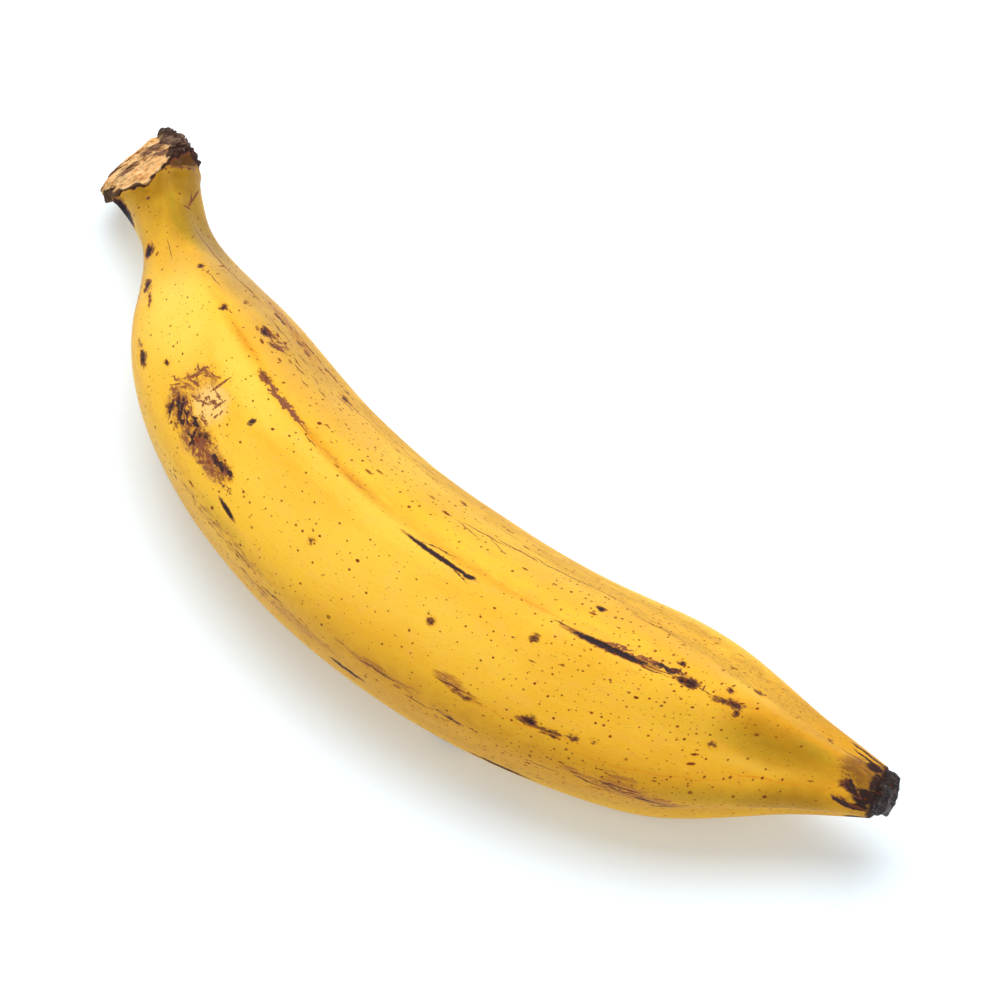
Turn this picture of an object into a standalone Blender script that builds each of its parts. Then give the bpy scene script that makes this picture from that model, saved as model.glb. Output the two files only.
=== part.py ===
"""A whole plantain, lying on its side as picked.

One solid: a curved, five-ridged fruit with a straight neck that flares into
the crown cushion at the stem end, and a short beak at the blossom end.

Frame: metres, +Z up, the surface it rests on at Z = 0.  +X runs from the crown
to the tip, and +Y is the inside of the curve.
"""
import math

import bmesh
import bpy
from mathutils import Matrix, Vector

MM = 0.001

# Driving dimensions --------------------------------------------------------

# Spine, as (distance along the fruit in mm, heading in degrees from +X).
# The neck is straight, the body turns evenly, the beak straightens again.
HEADINGS = ((0, -26), (56, -29), (237, 31), (287, 20))
SPINE_STEP = 0.5            # mm, step of the walk along the spine

# Cross-sections, as (distance, mean radius, height of the centre, ridge
# sharpness).  The first three are mm; the last is how far, as a share of the
# radius, a ridge stands out and a face falls in.
SECTIONS = (
    (1, 10.0, 25.6, 0.00),      # crown rim
    (6, 10.8, 25.6, 0.00),      # widest part of the crown cushion
    (13, 9.6, 25.5, 0.01),
    (25, 8.3, 25.4, 0.02),      # waist of the neck
    (38, 8.9, 25.2, 0.03),
    (50, 12.2, 25.0, 0.04),
    (62, 16.5, 24.8, 0.04),
    (75, 20.1, 24.6, 0.04),     # shoulder
    (93, 23.1, 24.4, 0.035),
    (116, 24.2, 24.4, 0.03),
    (145, 25.0, 24.5, 0.03),
    (175, 25.5, 24.6, 0.03),    # thickest part of the body
    (202, 25.1, 24.4, 0.035),
    (222, 24.2, 24.2, 0.04),
    (235, 22.7, 24.1, 0.05),
    (247, 19.2, 24.2, 0.06),
    (258, 14.7, 24.5, 0.06),
    (268, 10.9, 24.8, 0.05),
    (277, 8.2, 25.0, 0.04),     # beak
    (284, 6.2, 25.0, 0.02),
)
BLOSSOM_SCAR = (287.0, 4.0)     # distance and radius of the blunt end, mm
CROWN_FACE = (0.0, 6.0)         # distance and radius of the stem end's face, mm

RIDGES = 5
TOP_RIDGE = ((40, 93), (260, 78))   # (distance, degrees up from the belly side)

CROWN_LONG_AXIS = 133.0     # degrees up from the belly side
CROWN_STRETCH = 0.16        # share of the radius, out on that axis, in across it
CROWN_SLANT = 0.9           # how far the torn face leans back, per mm across its long axis
CROWN_END = 32.0            # mm, where the cushion has faded into the neck

SIDES = 2 * RIDGES          # one cage point on each ridge, one on each face
SMOOTHING = 2               # levels of subdivision
REST_LEAN = 7.5             # degrees, the curve leans until its ends hang lower than its back
REST_DIP = 1.1              # degrees, the crown end dips towards the surface
FLAT_DEPTH = 0.4            # mm, pressed flat where the fruit lies
CUTTER_SIZE = (0.40, 0.20, 0.02)

# Catmull-Clark pulls a ring of cage points in.  These are the shares of the
# mean radius, and of the ridge height, that are left on the smooth surface.
ROUND_KEPT = (4 + 2 * math.cos(2 * math.pi / SIDES)) / 6
RIDGE_KEPT = (4 - 2) / 6


# Shape ---------------------------------------------------------------------

def blend(table, distance):
    """Value at a distance along the fruit, straight between table rows."""
    if distance <= table[0][0]:
        return table[0][1]
    for (start, first), (end, last) in zip(table, table[1:]):
        if distance <= end:
            return first + (last - first) * (distance - start) / (end - start)
    return table[-1][1]


def walk_spine(length):
    """Plan points of the spine in mm, one every SPINE_STEP, from the crown."""
    points = [Vector((0.0, 0.0))]
    for step in range(math.ceil(length / SPINE_STEP)):
        heading = math.radians(blend(HEADINGS, (step + 0.5) * SPINE_STEP))
        points.append(points[-1] + SPINE_STEP * Vector((math.cos(heading), math.sin(heading))))
    return points


SPINE = walk_spine(BLOSSOM_SCAR[0] + 2)


def spine_point(distance):
    """Plan point of the spine at a distance in mm; straight past its start."""
    place = distance / SPINE_STEP
    index = min(max(int(place), 0), len(SPINE) - 2)
    return SPINE[index].lerp(SPINE[index + 1], place - index)


def skin_point(distance, radius, height, sharpness, side):
    """One cage point in mm: ridge points have an even side number, face points odd."""
    angle = math.radians(blend(TOP_RIDGE, distance) + side * 360 / SIDES)
    cushion = max(0.0, 1 - distance / CROWN_END)
    axis = math.radians(CROWN_LONG_AXIS)
    radius *= 1 / ROUND_KEPT
    radius *= 1 + CROWN_STRETCH * cushion * math.cos(2 * (angle - axis))
    radius *= 1 + (sharpness if side % 2 == 0 else -sharpness) * ROUND_KEPT / RIDGE_KEPT
    along = distance + CROWN_SLANT * cushion * radius * math.sin(axis - angle)
    heading = math.radians(blend(HEADINGS, along))
    belly = Vector((math.sin(heading), -math.cos(heading)))
    plan = spine_point(along) + belly * radius * math.cos(angle)
    return Vector((plan.x, plan.y, height + radius * math.sin(angle)))


def rings():
    """Every ring of the cage, crown face first, blossom scar last."""
    crown_distance, crown_radius = CROWN_FACE
    scar_distance, scar_radius = BLOSSOM_SCAR
    first, last = SECTIONS[0], SECTIONS[-1]
    return (
        (crown_distance, crown_radius, first[2], first[3]),
        *SECTIONS,
        (scar_distance, scar_radius, last[2], last[3]),
    )


def build_cage():
    """A capped cylinder, cut into rings and bent onto the spine."""
    sections = rings()
    bm = bmesh.new()
    bmesh.ops.create_cone(bm, cap_ends=True, segments=SIDES, radius1=1, radius2=1,
                          depth=len(sections) - 1)
    bmesh.ops.translate(bm, verts=bm.verts, vec=(0, 0, (len(sections) - 1) / 2))
    for level in range(1, len(sections) - 1):
        bmesh.ops.bisect_plane(bm, geom=[*bm.verts, *bm.edges, *bm.faces],
                               plane_co=(0, 0, level), plane_no=(0, 0, 1))
    for vert in bm.verts:
        section = sections[round(vert.co.z)]
        side = round(math.atan2(vert.co.x, vert.co.y) * SIDES / (2 * math.pi)) % SIDES
        vert.co = skin_point(*section, side)
    bmesh.ops.recalc_face_normals(bm, faces=bm.faces)
    return bm


# Objects -------------------------------------------------------------------

def clear_scene():
    """Remove every object that the file opened with."""
    for obj in list(bpy.data.objects):
        bpy.data.objects.remove(obj, do_unlink=True)


def new_collection(name):
    """A collection linked under the scene."""
    collection = bpy.data.collections.new(name)
    bpy.context.scene.collection.children.link(collection)
    return collection


def peel_material():
    """Ripe yellow peel with a soft waxy shine."""
    material = bpy.data.materials.new("ripe_peel")
    material.use_nodes = True
    shader = material.node_tree.nodes["Principled BSDF"]
    shader.inputs["Base Color"].default_value = (0.87, 0.50, 0.075, 1)
    shader.inputs["Roughness"].default_value = 0.5
    shader.inputs["Metallic"].default_value = 0.0
    return material


def make_ground_cutter(collection, centre):
    """A slab below the resting surface, which presses the underside flat."""
    bpy.ops.mesh.primitive_cube_add(size=1)
    cutter = bpy.context.object
    cutter.name = "ground_cutter"
    cutter.scale = CUTTER_SIZE
    cutter.location = (centre.x, centre.y, -CUTTER_SIZE[2] / 2)
    for owner in list(cutter.users_collection):
        owner.objects.unlink(cutter)
    collection.objects.link(cutter)
    cutter.hide_render = True
    cutter.display_type = "WIRE"
    return cutter


def smooth_bounds(obj):
    """Lowest and highest corners of an object as its modifiers leave it."""
    evaluated = obj.evaluated_get(bpy.context.evaluated_depsgraph_get())
    points = [vert.co for vert in evaluated.data.vertices]
    low = Vector(tuple(min(point[axis] for point in points) for axis in range(3)))
    high = Vector(tuple(max(point[axis] for point in points) for axis in range(3)))
    return low, high


def make_plantain(collection):
    """The fruit, centred over the origin, its underside FLAT_DEPTH below Z = 0."""
    bm = build_cage()
    lean = Matrix.Rotation(math.radians(-REST_LEAN), 4, "X")
    dip = Matrix.Rotation(math.radians(-REST_DIP), 4, "Y")
    bmesh.ops.transform(bm, matrix=Matrix.Scale(MM, 4) @ dip @ lean, verts=bm.verts)
    mesh = bpy.data.meshes.new("plantain")
    bm.to_mesh(mesh)
    bm.free()
    mesh.shade_smooth()
    mesh.materials.append(peel_material())
    fruit = bpy.data.objects.new("plantain", mesh)
    collection.objects.link(fruit)
    smooth = fruit.modifiers.new("smooth", "SUBSURF")
    smooth.levels = SMOOTHING
    smooth.render_levels = SMOOTHING
    low, high = smooth_bounds(fruit)
    middle = (low + high) / 2
    for vert in mesh.vertices:
        vert.co -= Vector((middle.x, middle.y, low.z + FLAT_DEPTH * MM))
    return fruit


def main():
    """Build the fruit and press its underside flat."""
    clear_scene()
    fruit = make_plantain(new_collection("Plantain"))
    cutter = make_ground_cutter(new_collection("Cutters"), Vector((0, 0, 0)))
    press = fruit.modifiers.new("resting_flat", "BOOLEAN")
    press.operation = "DIFFERENCE"
    press.object = cutter
    press.solver = "EXACT"


main()
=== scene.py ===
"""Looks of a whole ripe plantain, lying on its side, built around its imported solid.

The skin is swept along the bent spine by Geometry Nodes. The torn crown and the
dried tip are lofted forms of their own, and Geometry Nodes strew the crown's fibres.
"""

import logging
import math
from dataclasses import dataclass
from enum import Enum

import bmesh
import bpy
import numpy as np
from mathutils import Matrix, Vector, noise


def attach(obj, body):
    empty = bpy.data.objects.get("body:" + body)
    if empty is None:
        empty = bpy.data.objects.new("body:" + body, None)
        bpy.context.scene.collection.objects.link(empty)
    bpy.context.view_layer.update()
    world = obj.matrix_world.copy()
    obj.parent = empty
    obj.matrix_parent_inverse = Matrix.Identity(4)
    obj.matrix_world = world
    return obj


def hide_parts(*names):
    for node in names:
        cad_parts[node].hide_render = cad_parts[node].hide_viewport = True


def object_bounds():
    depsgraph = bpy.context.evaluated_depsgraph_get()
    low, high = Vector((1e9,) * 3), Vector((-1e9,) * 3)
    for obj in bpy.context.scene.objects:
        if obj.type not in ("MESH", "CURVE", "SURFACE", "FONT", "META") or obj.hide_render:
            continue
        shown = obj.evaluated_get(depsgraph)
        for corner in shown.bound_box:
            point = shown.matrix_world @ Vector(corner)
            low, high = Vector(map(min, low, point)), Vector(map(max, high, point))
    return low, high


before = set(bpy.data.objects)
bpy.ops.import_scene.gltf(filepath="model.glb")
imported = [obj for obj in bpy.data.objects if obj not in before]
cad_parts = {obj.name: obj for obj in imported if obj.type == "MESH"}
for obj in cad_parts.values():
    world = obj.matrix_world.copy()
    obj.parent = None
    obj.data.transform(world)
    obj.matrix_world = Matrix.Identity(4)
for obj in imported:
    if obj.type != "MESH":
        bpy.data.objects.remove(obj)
cad_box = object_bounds()

log = logging.getLogger("plantain")
MM = 0.001
TAU = 2 * math.pi


# Node graphs ---------------------------------------------------------------

class Graph:
    """Shorthand for wiring a shader or geometry node tree."""

    def __init__(self, tree: bpy.types.NodeTree) -> None:
        """Start on a tree, keeping what it holds.

        Args:
            tree: the node tree to add to.
        """
        self.tree = tree

    def feed(self, socket: bpy.types.NodeSocket, value: object) -> None:
        """Link a socket or node into an input, or set the input's own value.

        Args:
            socket: the input to fill.
            value: an output socket, a node whose first output is meant, or a constant.
        """
        if isinstance(value, bpy.types.Node):
            value = next(out for out in value.outputs if out.enabled)
        if isinstance(value, bpy.types.NodeSocket):
            self.tree.links.new(value, socket)
        else:
            socket.default_value = value

    def node(self, kind: str, feeds: dict | None = None, **settings: object) -> bpy.types.Node:
        """Add a node.

        Args:
            kind: Blender's identifier of the node type.
            feeds: what goes into its inputs, by name or number.
            settings: properties to set on the node.

        Returns:
            The new node.
        """
        made = self.tree.nodes.new(kind)
        for name, value in settings.items():
            setattr(made, name, value)
        for key, value in (feeds or {}).items():
            self.feed(made.inputs[key], value)
        return made

    def math(self, operation: str, *values: object, clamp: bool = False) -> bpy.types.NodeSocket:
        """A Math node's output for one operation on sockets or numbers."""
        made = self.node("ShaderNodeMath", operation=operation, use_clamp=clamp)
        for index, value in enumerate(values):
            self.feed(made.inputs[index], value)
        return made.outputs[0]

    def vector(self, operation: str, *values: object) -> bpy.types.NodeSocket:
        """A Vector Math node's output for one operation on sockets or vectors."""
        made = self.node("ShaderNodeVectorMath", operation=operation)
        slots = [made.inputs["Scale"] if operation == "SCALE" and index == 1 else made.inputs[index]
                 for index in range(len(values))]
        for slot, value in zip(slots, values):
            self.feed(slot, value)
        return next(out for out in made.outputs if out.enabled)


# The grown form ------------------------------------------------------------

def cubic(values: np.ndarray, steps: int) -> np.ndarray:
    """Uniform cubic B-spline through rows of control values.

    Args:
        values: control rows, one for each ring of the cage.
        steps: points to work out between two rings.

    Returns:
        The curve's rows, from the first control ring to the last.
    """
    padded = np.vstack([2 * values[0] - values[1], values, 2 * values[-1] - values[-2]])
    t = np.linspace(0, 1, steps, endpoint=False)[:, None]
    weights = ((1 - t) ** 3, 3 * t ** 3 - 6 * t ** 2 + 4, -3 * t ** 3 + 3 * t ** 2 + 3 * t + 1, t ** 3)
    spans = [sum(w * padded[i + k] for k, w in enumerate(weights)) / 6 for i in range(len(values) - 1)]
    return np.vstack([*spans, values[-1:]])


@dataclass(frozen=True)
class FruitForm:
    """How the fruit grew: a bent spine, its girth, its five ridges and how it lies.

    Distances run along the spine from the crown in mm. Angles go round it in
    degrees, from the belly (the outside of the curve) up over the top.
    """

    headings: tuple = ((0, -24.5), (20, -26.5), (42, -25.3), (62, -26.5), (205, 20.5), (237, 28.6), (287, 26))
    sections: tuple = (
        (0, 9.6, 25.6, 0.00), (1, 10.0, 25.6, 0.00), (6, 11.2, 25.6, 0.00), (13, 10.1, 25.5, 0.01),
        (25, 8.1, 25.4, 0.04), (38, 8.2, 25.2, 0.055), (50, 11.4, 25.0, 0.055), (62, 16.0, 24.8, 0.045),
        (75, 20.1, 24.6, 0.04), (93, 23.1, 24.4, 0.035), (116, 24.2, 24.4, 0.03), (145, 25.0, 24.5, 0.03),
        (175, 25.4, 24.6, 0.03), (202, 24.9, 24.4, 0.035), (222, 23.9, 24.2, 0.045), (235, 22.3, 24.1, 0.065),
        (247, 18.7, 24.2, 0.09), (258, 14.3, 24.5, 0.10), (268, 10.7, 24.8, 0.085), (277, 8.2, 25.0, 0.06),
        (284, 6.2, 25.0, 0.02), (287, 5.4, 25.0, 0.02),
    )
    top_ridge: tuple = ((40, 91), (260, 71))
    ridges: int = 5
    crown_long_axis: float = 133.0
    crown_stretch: float = 0.19
    crown_slant: float = 0.9
    crown_end: float = 32.0
    rest_lean: float = 7.5
    rest_dip: float = 1.1
    flat_depth: float = 0.4
    rest_nudge: tuple = (-0.05, -0.27, 0.0)
    rim: tuple = (
        (0, 11.4), (10, 12.2), (22, 13.7), (32, 15.8), (45, 17.0), (58, 17.8), (71, 17.0), (85, 16.2),
        (95, 14.8), (103, 12.9), (112, 11.9), (123, 11.7), (135, 12.5), (145, 13.8), (152, 14.8),
        (159, 16.2), (168, 16.6), (178, 14.0), (205, 5.0), (240, 3.5), (300, 6.0), (340, 9.0), (360, 11.4),
    )
    bevel: float = 0.42
    crown_droop: float = 1.9
    bevel_angle: float = 58.0
    shoulder: float = 0.27
    shoulder_angle: float = 152.0

    @property
    def length(self) -> float:
        """Distance from the crown to the blossom end, mm."""
        return float(self.sections[-1][0])

    def profile(self, distance: np.ndarray) -> tuple[np.ndarray, np.ndarray, np.ndarray]:
        """Mean radius, height of the centre and ridge height at distances along the fruit.

        Args:
            distance: distances in mm.

        Returns:
            Radius in mm, height in mm, and ridge height as a share of the radius.
        """
        curve = cubic(np.array(self.sections, float), 12)
        return tuple(np.interp(distance, curve[:, 0], curve[:, column]) for column in (1, 2, 3))

    def heading(self, distance: np.ndarray) -> np.ndarray:
        """Heading of the spine in radians."""
        table = np.radians(np.array(self.headings, float))
        return np.interp(distance, np.array(self.headings)[:, 0], table[:, 1])

    def spine(self, distance: np.ndarray) -> np.ndarray:
        """Plan points of the spine, mm; straight on past either end."""
        fine = np.arange(-40.0, self.length + 40.0, 0.25)
        turn = self.heading((fine[1:] + fine[:-1]) / 2)
        steps = 0.25 * np.column_stack([np.cos(turn), np.sin(turn)])
        walked = np.vstack([np.zeros((1, 2)), np.cumsum(steps, axis=0)])
        plan = np.column_stack([np.interp(distance, fine, walked[:, axis]) for axis in (0, 1)])
        origin = np.array([np.interp(0.0, fine, walked[:, axis]) for axis in (0, 1)])
        return plan - origin

    def ridge_angle(self, distance: np.ndarray) -> np.ndarray:
        """Angle of the topmost ridge, radians."""
        table = np.array(self.top_ridge, float)
        return np.radians(np.interp(distance, table[:, 0], table[:, 1]))

    def cushion(self, distance: np.ndarray) -> np.ndarray:
        """How much of the crown's stretch and slant is left at a distance, 0 to 1."""
        return np.clip(1 - distance / self.crown_end, 0, 1)

    def place(self, distance: np.ndarray, angle: np.ndarray, radius: np.ndarray,
              height: np.ndarray) -> np.ndarray:
        """Points at a radius from the spine, in mm, before the fruit is laid down.

        Args:
            distance: along the fruit, mm.
            angle: round it, radians.
            radius: from the spine, mm.
            height: of the spine, mm.

        Returns:
            Points, one row each.
        """
        plan = np.column_stack([self.spine(distance), height])
        return plan + self.outward(distance, angle) * radius[:, None]

    def outward(self, distance: np.ndarray, angle: np.ndarray) -> np.ndarray:
        """Unit rows pointing straight out from the spine."""
        turn = self.heading(distance)
        level = np.cos(angle)
        return np.column_stack([np.sin(turn) * level, -np.cos(turn) * level, np.sin(angle)])

    def skin(self, distance: np.ndarray, angle: np.ndarray) -> np.ndarray:
        """The solid's own smooth surface, in mm, before the fruit is laid down."""
        radius, height, ridge = self.profile(distance)
        left = self.cushion(distance)
        across = angle - math.radians(self.crown_long_axis)
        radius = radius * (1 + self.crown_stretch * left * np.cos(2 * across))
        radius = radius * (1 + ridge * np.cos(self.ridges * (angle - self.ridge_angle(distance))))
        slid = distance - self.crown_slant * left * radius * np.sin(across)
        return self.place(slid, angle, radius, height)

    def ragged_rim(self, angle: np.ndarray) -> np.ndarray:
        """Distance at which the skin gives way to the torn crown, mm.

        Args:
            angle: round the fruit, radians.

        Returns:
            Distances from the crown, uneven as a tear is.
        """
        table = np.array(self.rim, float)
        turned = np.degrees(angle) % 360
        even = np.interp(turned, table[:, 0], table[:, 1])
        tear = 0.5 * np.sin(7 * angle + 0.6) + 0.3 * np.sin(12 * angle + 2.1) + 0.16 * np.sin(23 * angle)
        return even + tear

    def stump(self, distance: np.ndarray, angle: np.ndarray, share: np.ndarray,
            rise: np.ndarray) -> np.ndarray:
        """Points on the bevelled stump of the crown, mm, before the fruit is laid down.

        Args:
            distance: along the fruit, mm.
            angle: round it, radians.
            share: of the way out from the middle, 0 to 1.
            rise: outward from the stump's surface, mm.

        Returns:
            Points, one row each.
        """
        radius, height, _ = self.profile(distance)
        left = self.cushion(distance)
        across = angle - math.radians(self.crown_long_axis)
        radius = radius * (1 + self.crown_stretch * left * np.cos(2 * across))
        worn = np.clip(1 - distance / self.ragged_rim(angle), 0, 1)
        facing = np.clip(np.cos(angle - math.radians(self.bevel_angle)), 0, 1)
        back = np.clip(np.cos(angle - math.radians(self.shoulder_angle)), 0, 1)
        cut = self.bevel * worn ** 1.15 * facing + self.shoulder * worn ** 0.5 * back
        radius = radius * share * (1 - cut) + rise
        slid = distance - self.crown_slant * left * radius * np.sin(across)
        points = self.place(slid, angle, radius, height)
        axis = self.outward(np.zeros(1), np.radians([self.crown_long_axis]))
        return points - axis * (self.crown_droop * np.clip(1 - distance / 22, 0, 1) ** 1.5)[:, None]

    def lay(self) -> Matrix:
        """The move, in metres, that lays the fruit on the surface as the solid lies."""
        lean = Matrix.Rotation(math.radians(-self.rest_lean), 4, "X")
        dip = Matrix.Rotation(math.radians(-self.rest_dip), 4, "Y")
        turn = dip @ lean
        distance, angle = np.meshgrid(np.linspace(0, self.length, 400), np.linspace(0, TAU, 120))
        points = self.skin(distance.ravel(), angle.ravel()) * MM @ np.array(turn.to_3x3()).T
        low, high = points.min(0), points.max(0)
        cad_low, cad_high = cad_box
        shift = (cad_low + cad_high) / 2 - Vector((low + high) / 2) + Vector(self.rest_nudge) * MM
        shift.z = cad_low.z - low[2] - self.flat_depth * MM
        return Matrix.Translation(shift) @ turn @ Matrix.Scale(MM, 4)

    def to_world(self, points: np.ndarray) -> np.ndarray:
        """Points in mm, as grown, turned into metres as the fruit lies."""
        move = np.array(self.lay())
        return points @ move[:3, :3].T + move[:3, 3]


# Geometry Nodes ------------------------------------------------------------

SOCKETS = {
    "geometry": "NodeSocketGeometry", "float": "NodeSocketFloat", "int": "NodeSocketInt",
    "material": "NodeSocketMaterial", "object": "NodeSocketObject",
}


def new_geometry_tree(name: str, inputs: dict[str, str]) -> tuple[Graph, bpy.types.Node, bpy.types.Node]:
    """An empty geometry tree with named inputs.

    Args:
        name: the tree's name.
        inputs: socket kinds, keys of SOCKETS, by input name.

    Returns:
        The graph, its group input node and its group output node.
    """
    tree = bpy.data.node_groups.new(name, "GeometryNodeTree")
    for label, kind in inputs.items():
        tree.interface.new_socket(label, in_out="INPUT", socket_type=SOCKETS[kind])
    tree.interface.new_socket("Geometry", in_out="OUTPUT", socket_type=SOCKETS["geometry"])
    graph = Graph(tree)
    return graph, graph.node("NodeGroupInput"), graph.node("NodeGroupOutput")


def run_tree(source: bpy.types.Object, graph: Graph, values: dict[str, object],
        name: str) -> bpy.types.Object:
    """Run a geometry tree on an object and keep the result as a plain mesh piece.

    Args:
        source: the object that the tree starts from; it is removed afterwards.
        graph: the tree to run.
        values: what each named input is set to.
        name: the piece's name.

    Returns:
        The new object, at the origin.
    """
    modifier = source.modifiers.new("grow", "NODES")
    modifier.node_group = graph.tree
    for item in graph.tree.interface.items_tree:
        if item.in_out == "INPUT" and item.name in values:
            modifier[item.identifier] = values[item.name]
    bpy.context.view_layer.update()
    evaluated = source.evaluated_get(bpy.context.evaluated_depsgraph_get())
    mesh = bpy.data.meshes.new_from_object(evaluated)
    mesh.name = name
    bpy.data.objects.remove(source, do_unlink=True)
    return add_object(name, mesh)


def add_object(name: str, mesh: bpy.types.Mesh) -> bpy.types.Object:
    """A mesh object linked into the scene, at the origin."""
    made = bpy.data.objects.new(name, mesh)
    bpy.context.scene.collection.objects.link(made)
    return made


def read_points(mesh: bpy.types.Mesh, name: str = "") -> np.ndarray:
    """Rows of vertex positions, or of a vector attribute on the vertices."""
    rows = np.zeros(len(mesh.vertices) * 3, np.float32)
    if name:
        mesh.attributes[name].data.foreach_get("vector", rows)
    else:
        mesh.vertices.foreach_get("co", rows)
    return rows.reshape(-1, 3).astype(float)


def read_values(mesh: bpy.types.Mesh, name: str) -> np.ndarray:
    """One number for each vertex from an attribute."""
    values = np.zeros(len(mesh.vertices), np.float32)
    mesh.attributes[name].data.foreach_get("value", values)
    return values.astype(float)


def write_points(mesh: bpy.types.Mesh, rows: np.ndarray) -> None:
    """Move every vertex to its row."""
    mesh.vertices.foreach_set("co", rows.astype(np.float32).ravel())
    mesh.update()


def write_field(mesh: bpy.types.Mesh, name: str, values: np.ndarray) -> None:
    """Store one number, or one vector, on every vertex."""
    vector = values.ndim == 2
    layer = mesh.attributes.new(name, "FLOAT_VECTOR" if vector else "FLOAT", "POINT")
    layer.data.foreach_set("vector" if vector else "value", values.astype(np.float32).ravel())


def smooth(values: np.ndarray, low: float, high: float) -> np.ndarray:
    """Smooth step from 0 at low to 1 at high."""
    t = np.clip((values - low) / (high - low), 0, 1)
    return t * t * (3 - 2 * t)


# The skin ------------------------------------------------------------------

@dataclass
class Skin:
    """The whole outer skin, from under the torn crown to inside the dried tip."""

    form: FruitForm
    columns: int = 208
    body_step: float = 0.82
    end_step: float = 0.42
    facing: float = 57.0
    crowding: float = 0.3
    swell_height: float = 0.55
    swell_length: float = 26.0
    lip: float = 1.4
    soft_contact: float = 0.22
    dents: tuple = (
        # along, angle, length, width, depth
        (13.6, 121, 2.4, 4.6, 1.9), (18.2, 116, 1.7, 6.0, -0.6), (106, 44, 10.0, 8.0, 0.45),
        (110, 34, 4.0, 2.4, 0.35), (222, 71, 11.0, 1.3, 0.2), (178, 73, 8.0, 0.9, 0.12),
        (60, 60, 16, 4, 0.5), (94, 103, 4.0, 2.0, 0.2), (150, 204, 10.0, 6.0, 0.5), (243, 182, 4, 3, 0.4),
        (236, -12, 9, 4, 0.25), (276, 40, 5.0, 2.2, 0.5), (275, 96, 5.0, 1.8, 0.4),
        (279, 75, 3.0, 2.4, -0.35), (208, 155, 26, 16, 0.8),
    )

    def ring_distances(self) -> tuple[np.ndarray, np.ndarray]:
        """Where the rings are, and the share of the girth that each keeps.

        Returns:
            Distances in mm, and shares that fall to 0 at the two closed ends.
        """
        places = [0.0]
        while places[-1] < self.form.length:
            near_end = min(places[-1], self.form.length - places[-1])
            places.append(places[-1] + np.interp(near_end, (25, 60), (self.end_step, self.body_step)))
        body = np.array(places) * self.form.length / places[-1]
        turn = np.linspace(0, math.pi / 2, 12)[1:]
        inward = np.cos(turn) * (1 - np.sin(turn) ** 8)
        start = -self.lip * np.sin(turn)
        distances = np.concatenate([start[::-1], body, self.form.length - start])
        shares = np.concatenate([inward[::-1], np.ones(len(body)), inward])
        return distances, shares

    def spine_mesh(self) -> bpy.types.Object:
        """One point for each ring, carrying what the sweep needs to know there."""
        distance, share = self.ring_distances()
        radius, height, ridge = self.form.profile(distance)
        turn = self.form.heading(distance)
        flat = np.zeros(len(distance))
        mesh = bpy.data.meshes.new("spine")
        mesh.vertices.add(len(distance))
        write_points(mesh, np.column_stack([self.form.spine(distance), height]))
        write_field(mesh, "tangent", np.column_stack([np.cos(turn), np.sin(turn), flat]))
        write_field(mesh, "belly", np.column_stack([np.sin(turn), -np.cos(turn), flat]))
        write_field(mesh, "girth", radius * share)
        write_field(mesh, "ridge", ridge)
        write_field(mesh, "ridge_angle", self.form.ridge_angle(distance))
        write_field(mesh, "hollow", smooth(distance, 222, 250) + 0.5 * smooth(-distance, -60, -40))
        write_field(mesh, "cushion", self.form.cushion(distance))
        write_field(mesh, "ring_distance", distance)
        return add_object("spine", mesh)

    def sweep_tree(self) -> Graph:
        """The tree that wraps a ridged skin round the spine's rings."""
        graph, given, result = new_geometry_tree("skin_sweep", {
            "Spine": "geometry", "Columns": "int", "Ridges": "int", "Facing": "float", "Crowding": "float",
            "Long Axis": "float", "Stretch": "float", "Slant": "float",
            "Swell Height": "float", "Swell Length": "float", "Skin": "material",
        })
        size = graph.node("GeometryNodeAttributeDomainSize", {"Geometry": given.outputs["Spine"]})
        across = graph.math("ADD", given.outputs["Columns"], 1)
        grid = graph.node("GeometryNodeMeshGrid", {
            "Size X": 1.0, "Size Y": 1.0, "Vertices X": size.outputs["Point Count"], "Vertices Y": across,
        })
        place = graph.node("ShaderNodeSeparateXYZ", {0: graph.node("GeometryNodeInputPosition")})
        last_ring = graph.math("SUBTRACT", size.outputs["Point Count"], 1)
        ring = graph.math("ROUND", graph.math("MULTIPLY", graph.math("ADD", place.outputs[0], 0.5),
            last_ring))
        even = graph.math("MULTIPLY", graph.math("ADD", place.outputs[1], 0.5), TAU)
        crowd = graph.math("SINE", graph.math("SUBTRACT", even, given.outputs["Facing"]))
        angle = graph.math("SUBTRACT", even, graph.math("MULTIPLY", crowd, given.outputs["Crowding"]))

        def sampled(name: str, vector: bool = False) -> bpy.types.NodeSocket:
            """A value that the spine carries at this point's ring."""
            kind = "FLOAT_VECTOR" if vector else "FLOAT"
            if name:
                value = graph.node("GeometryNodeInputNamedAttribute", {"Name": name}, data_type=kind)
            else:
                value = graph.node("GeometryNodeInputPosition")
            return graph.node("GeometryNodeSampleIndex", {
                "Geometry": given.outputs["Spine"], "Value": value, "Index": ring,
            }, data_type=kind, domain="POINT").outputs[0]

        radius = self.ridged_radius(graph, given, angle, sampled)
        cosine, sine = graph.math("COSINE", angle), graph.math("SINE", angle)
        from_axis = graph.math("SUBTRACT", angle, given.outputs["Long Axis"])
        slide = graph.math("MULTIPLY", radius, graph.math("SINE", from_axis))
        slide = graph.math("MULTIPLY", slide, graph.math("MULTIPLY", sampled("cushion"),
            given.outputs["Slant"]))
        centre = graph.vector("SUBTRACT", sampled("", True),
            graph.vector("SCALE", sampled("tangent", True), slide))
        out = graph.vector("SCALE", sampled("belly", True), graph.math("MULTIPLY", radius, cosine))
        up = graph.node("ShaderNodeCombineXYZ", {"Z": graph.math("MULTIPLY", radius, sine)})
        skin = graph.vector("ADD", graph.vector("ADD", centre, out), up)
        round_it = graph.node("ShaderNodeCombineXYZ", {"X": cosine, "Y": sine, "Z": 0.0})

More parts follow.
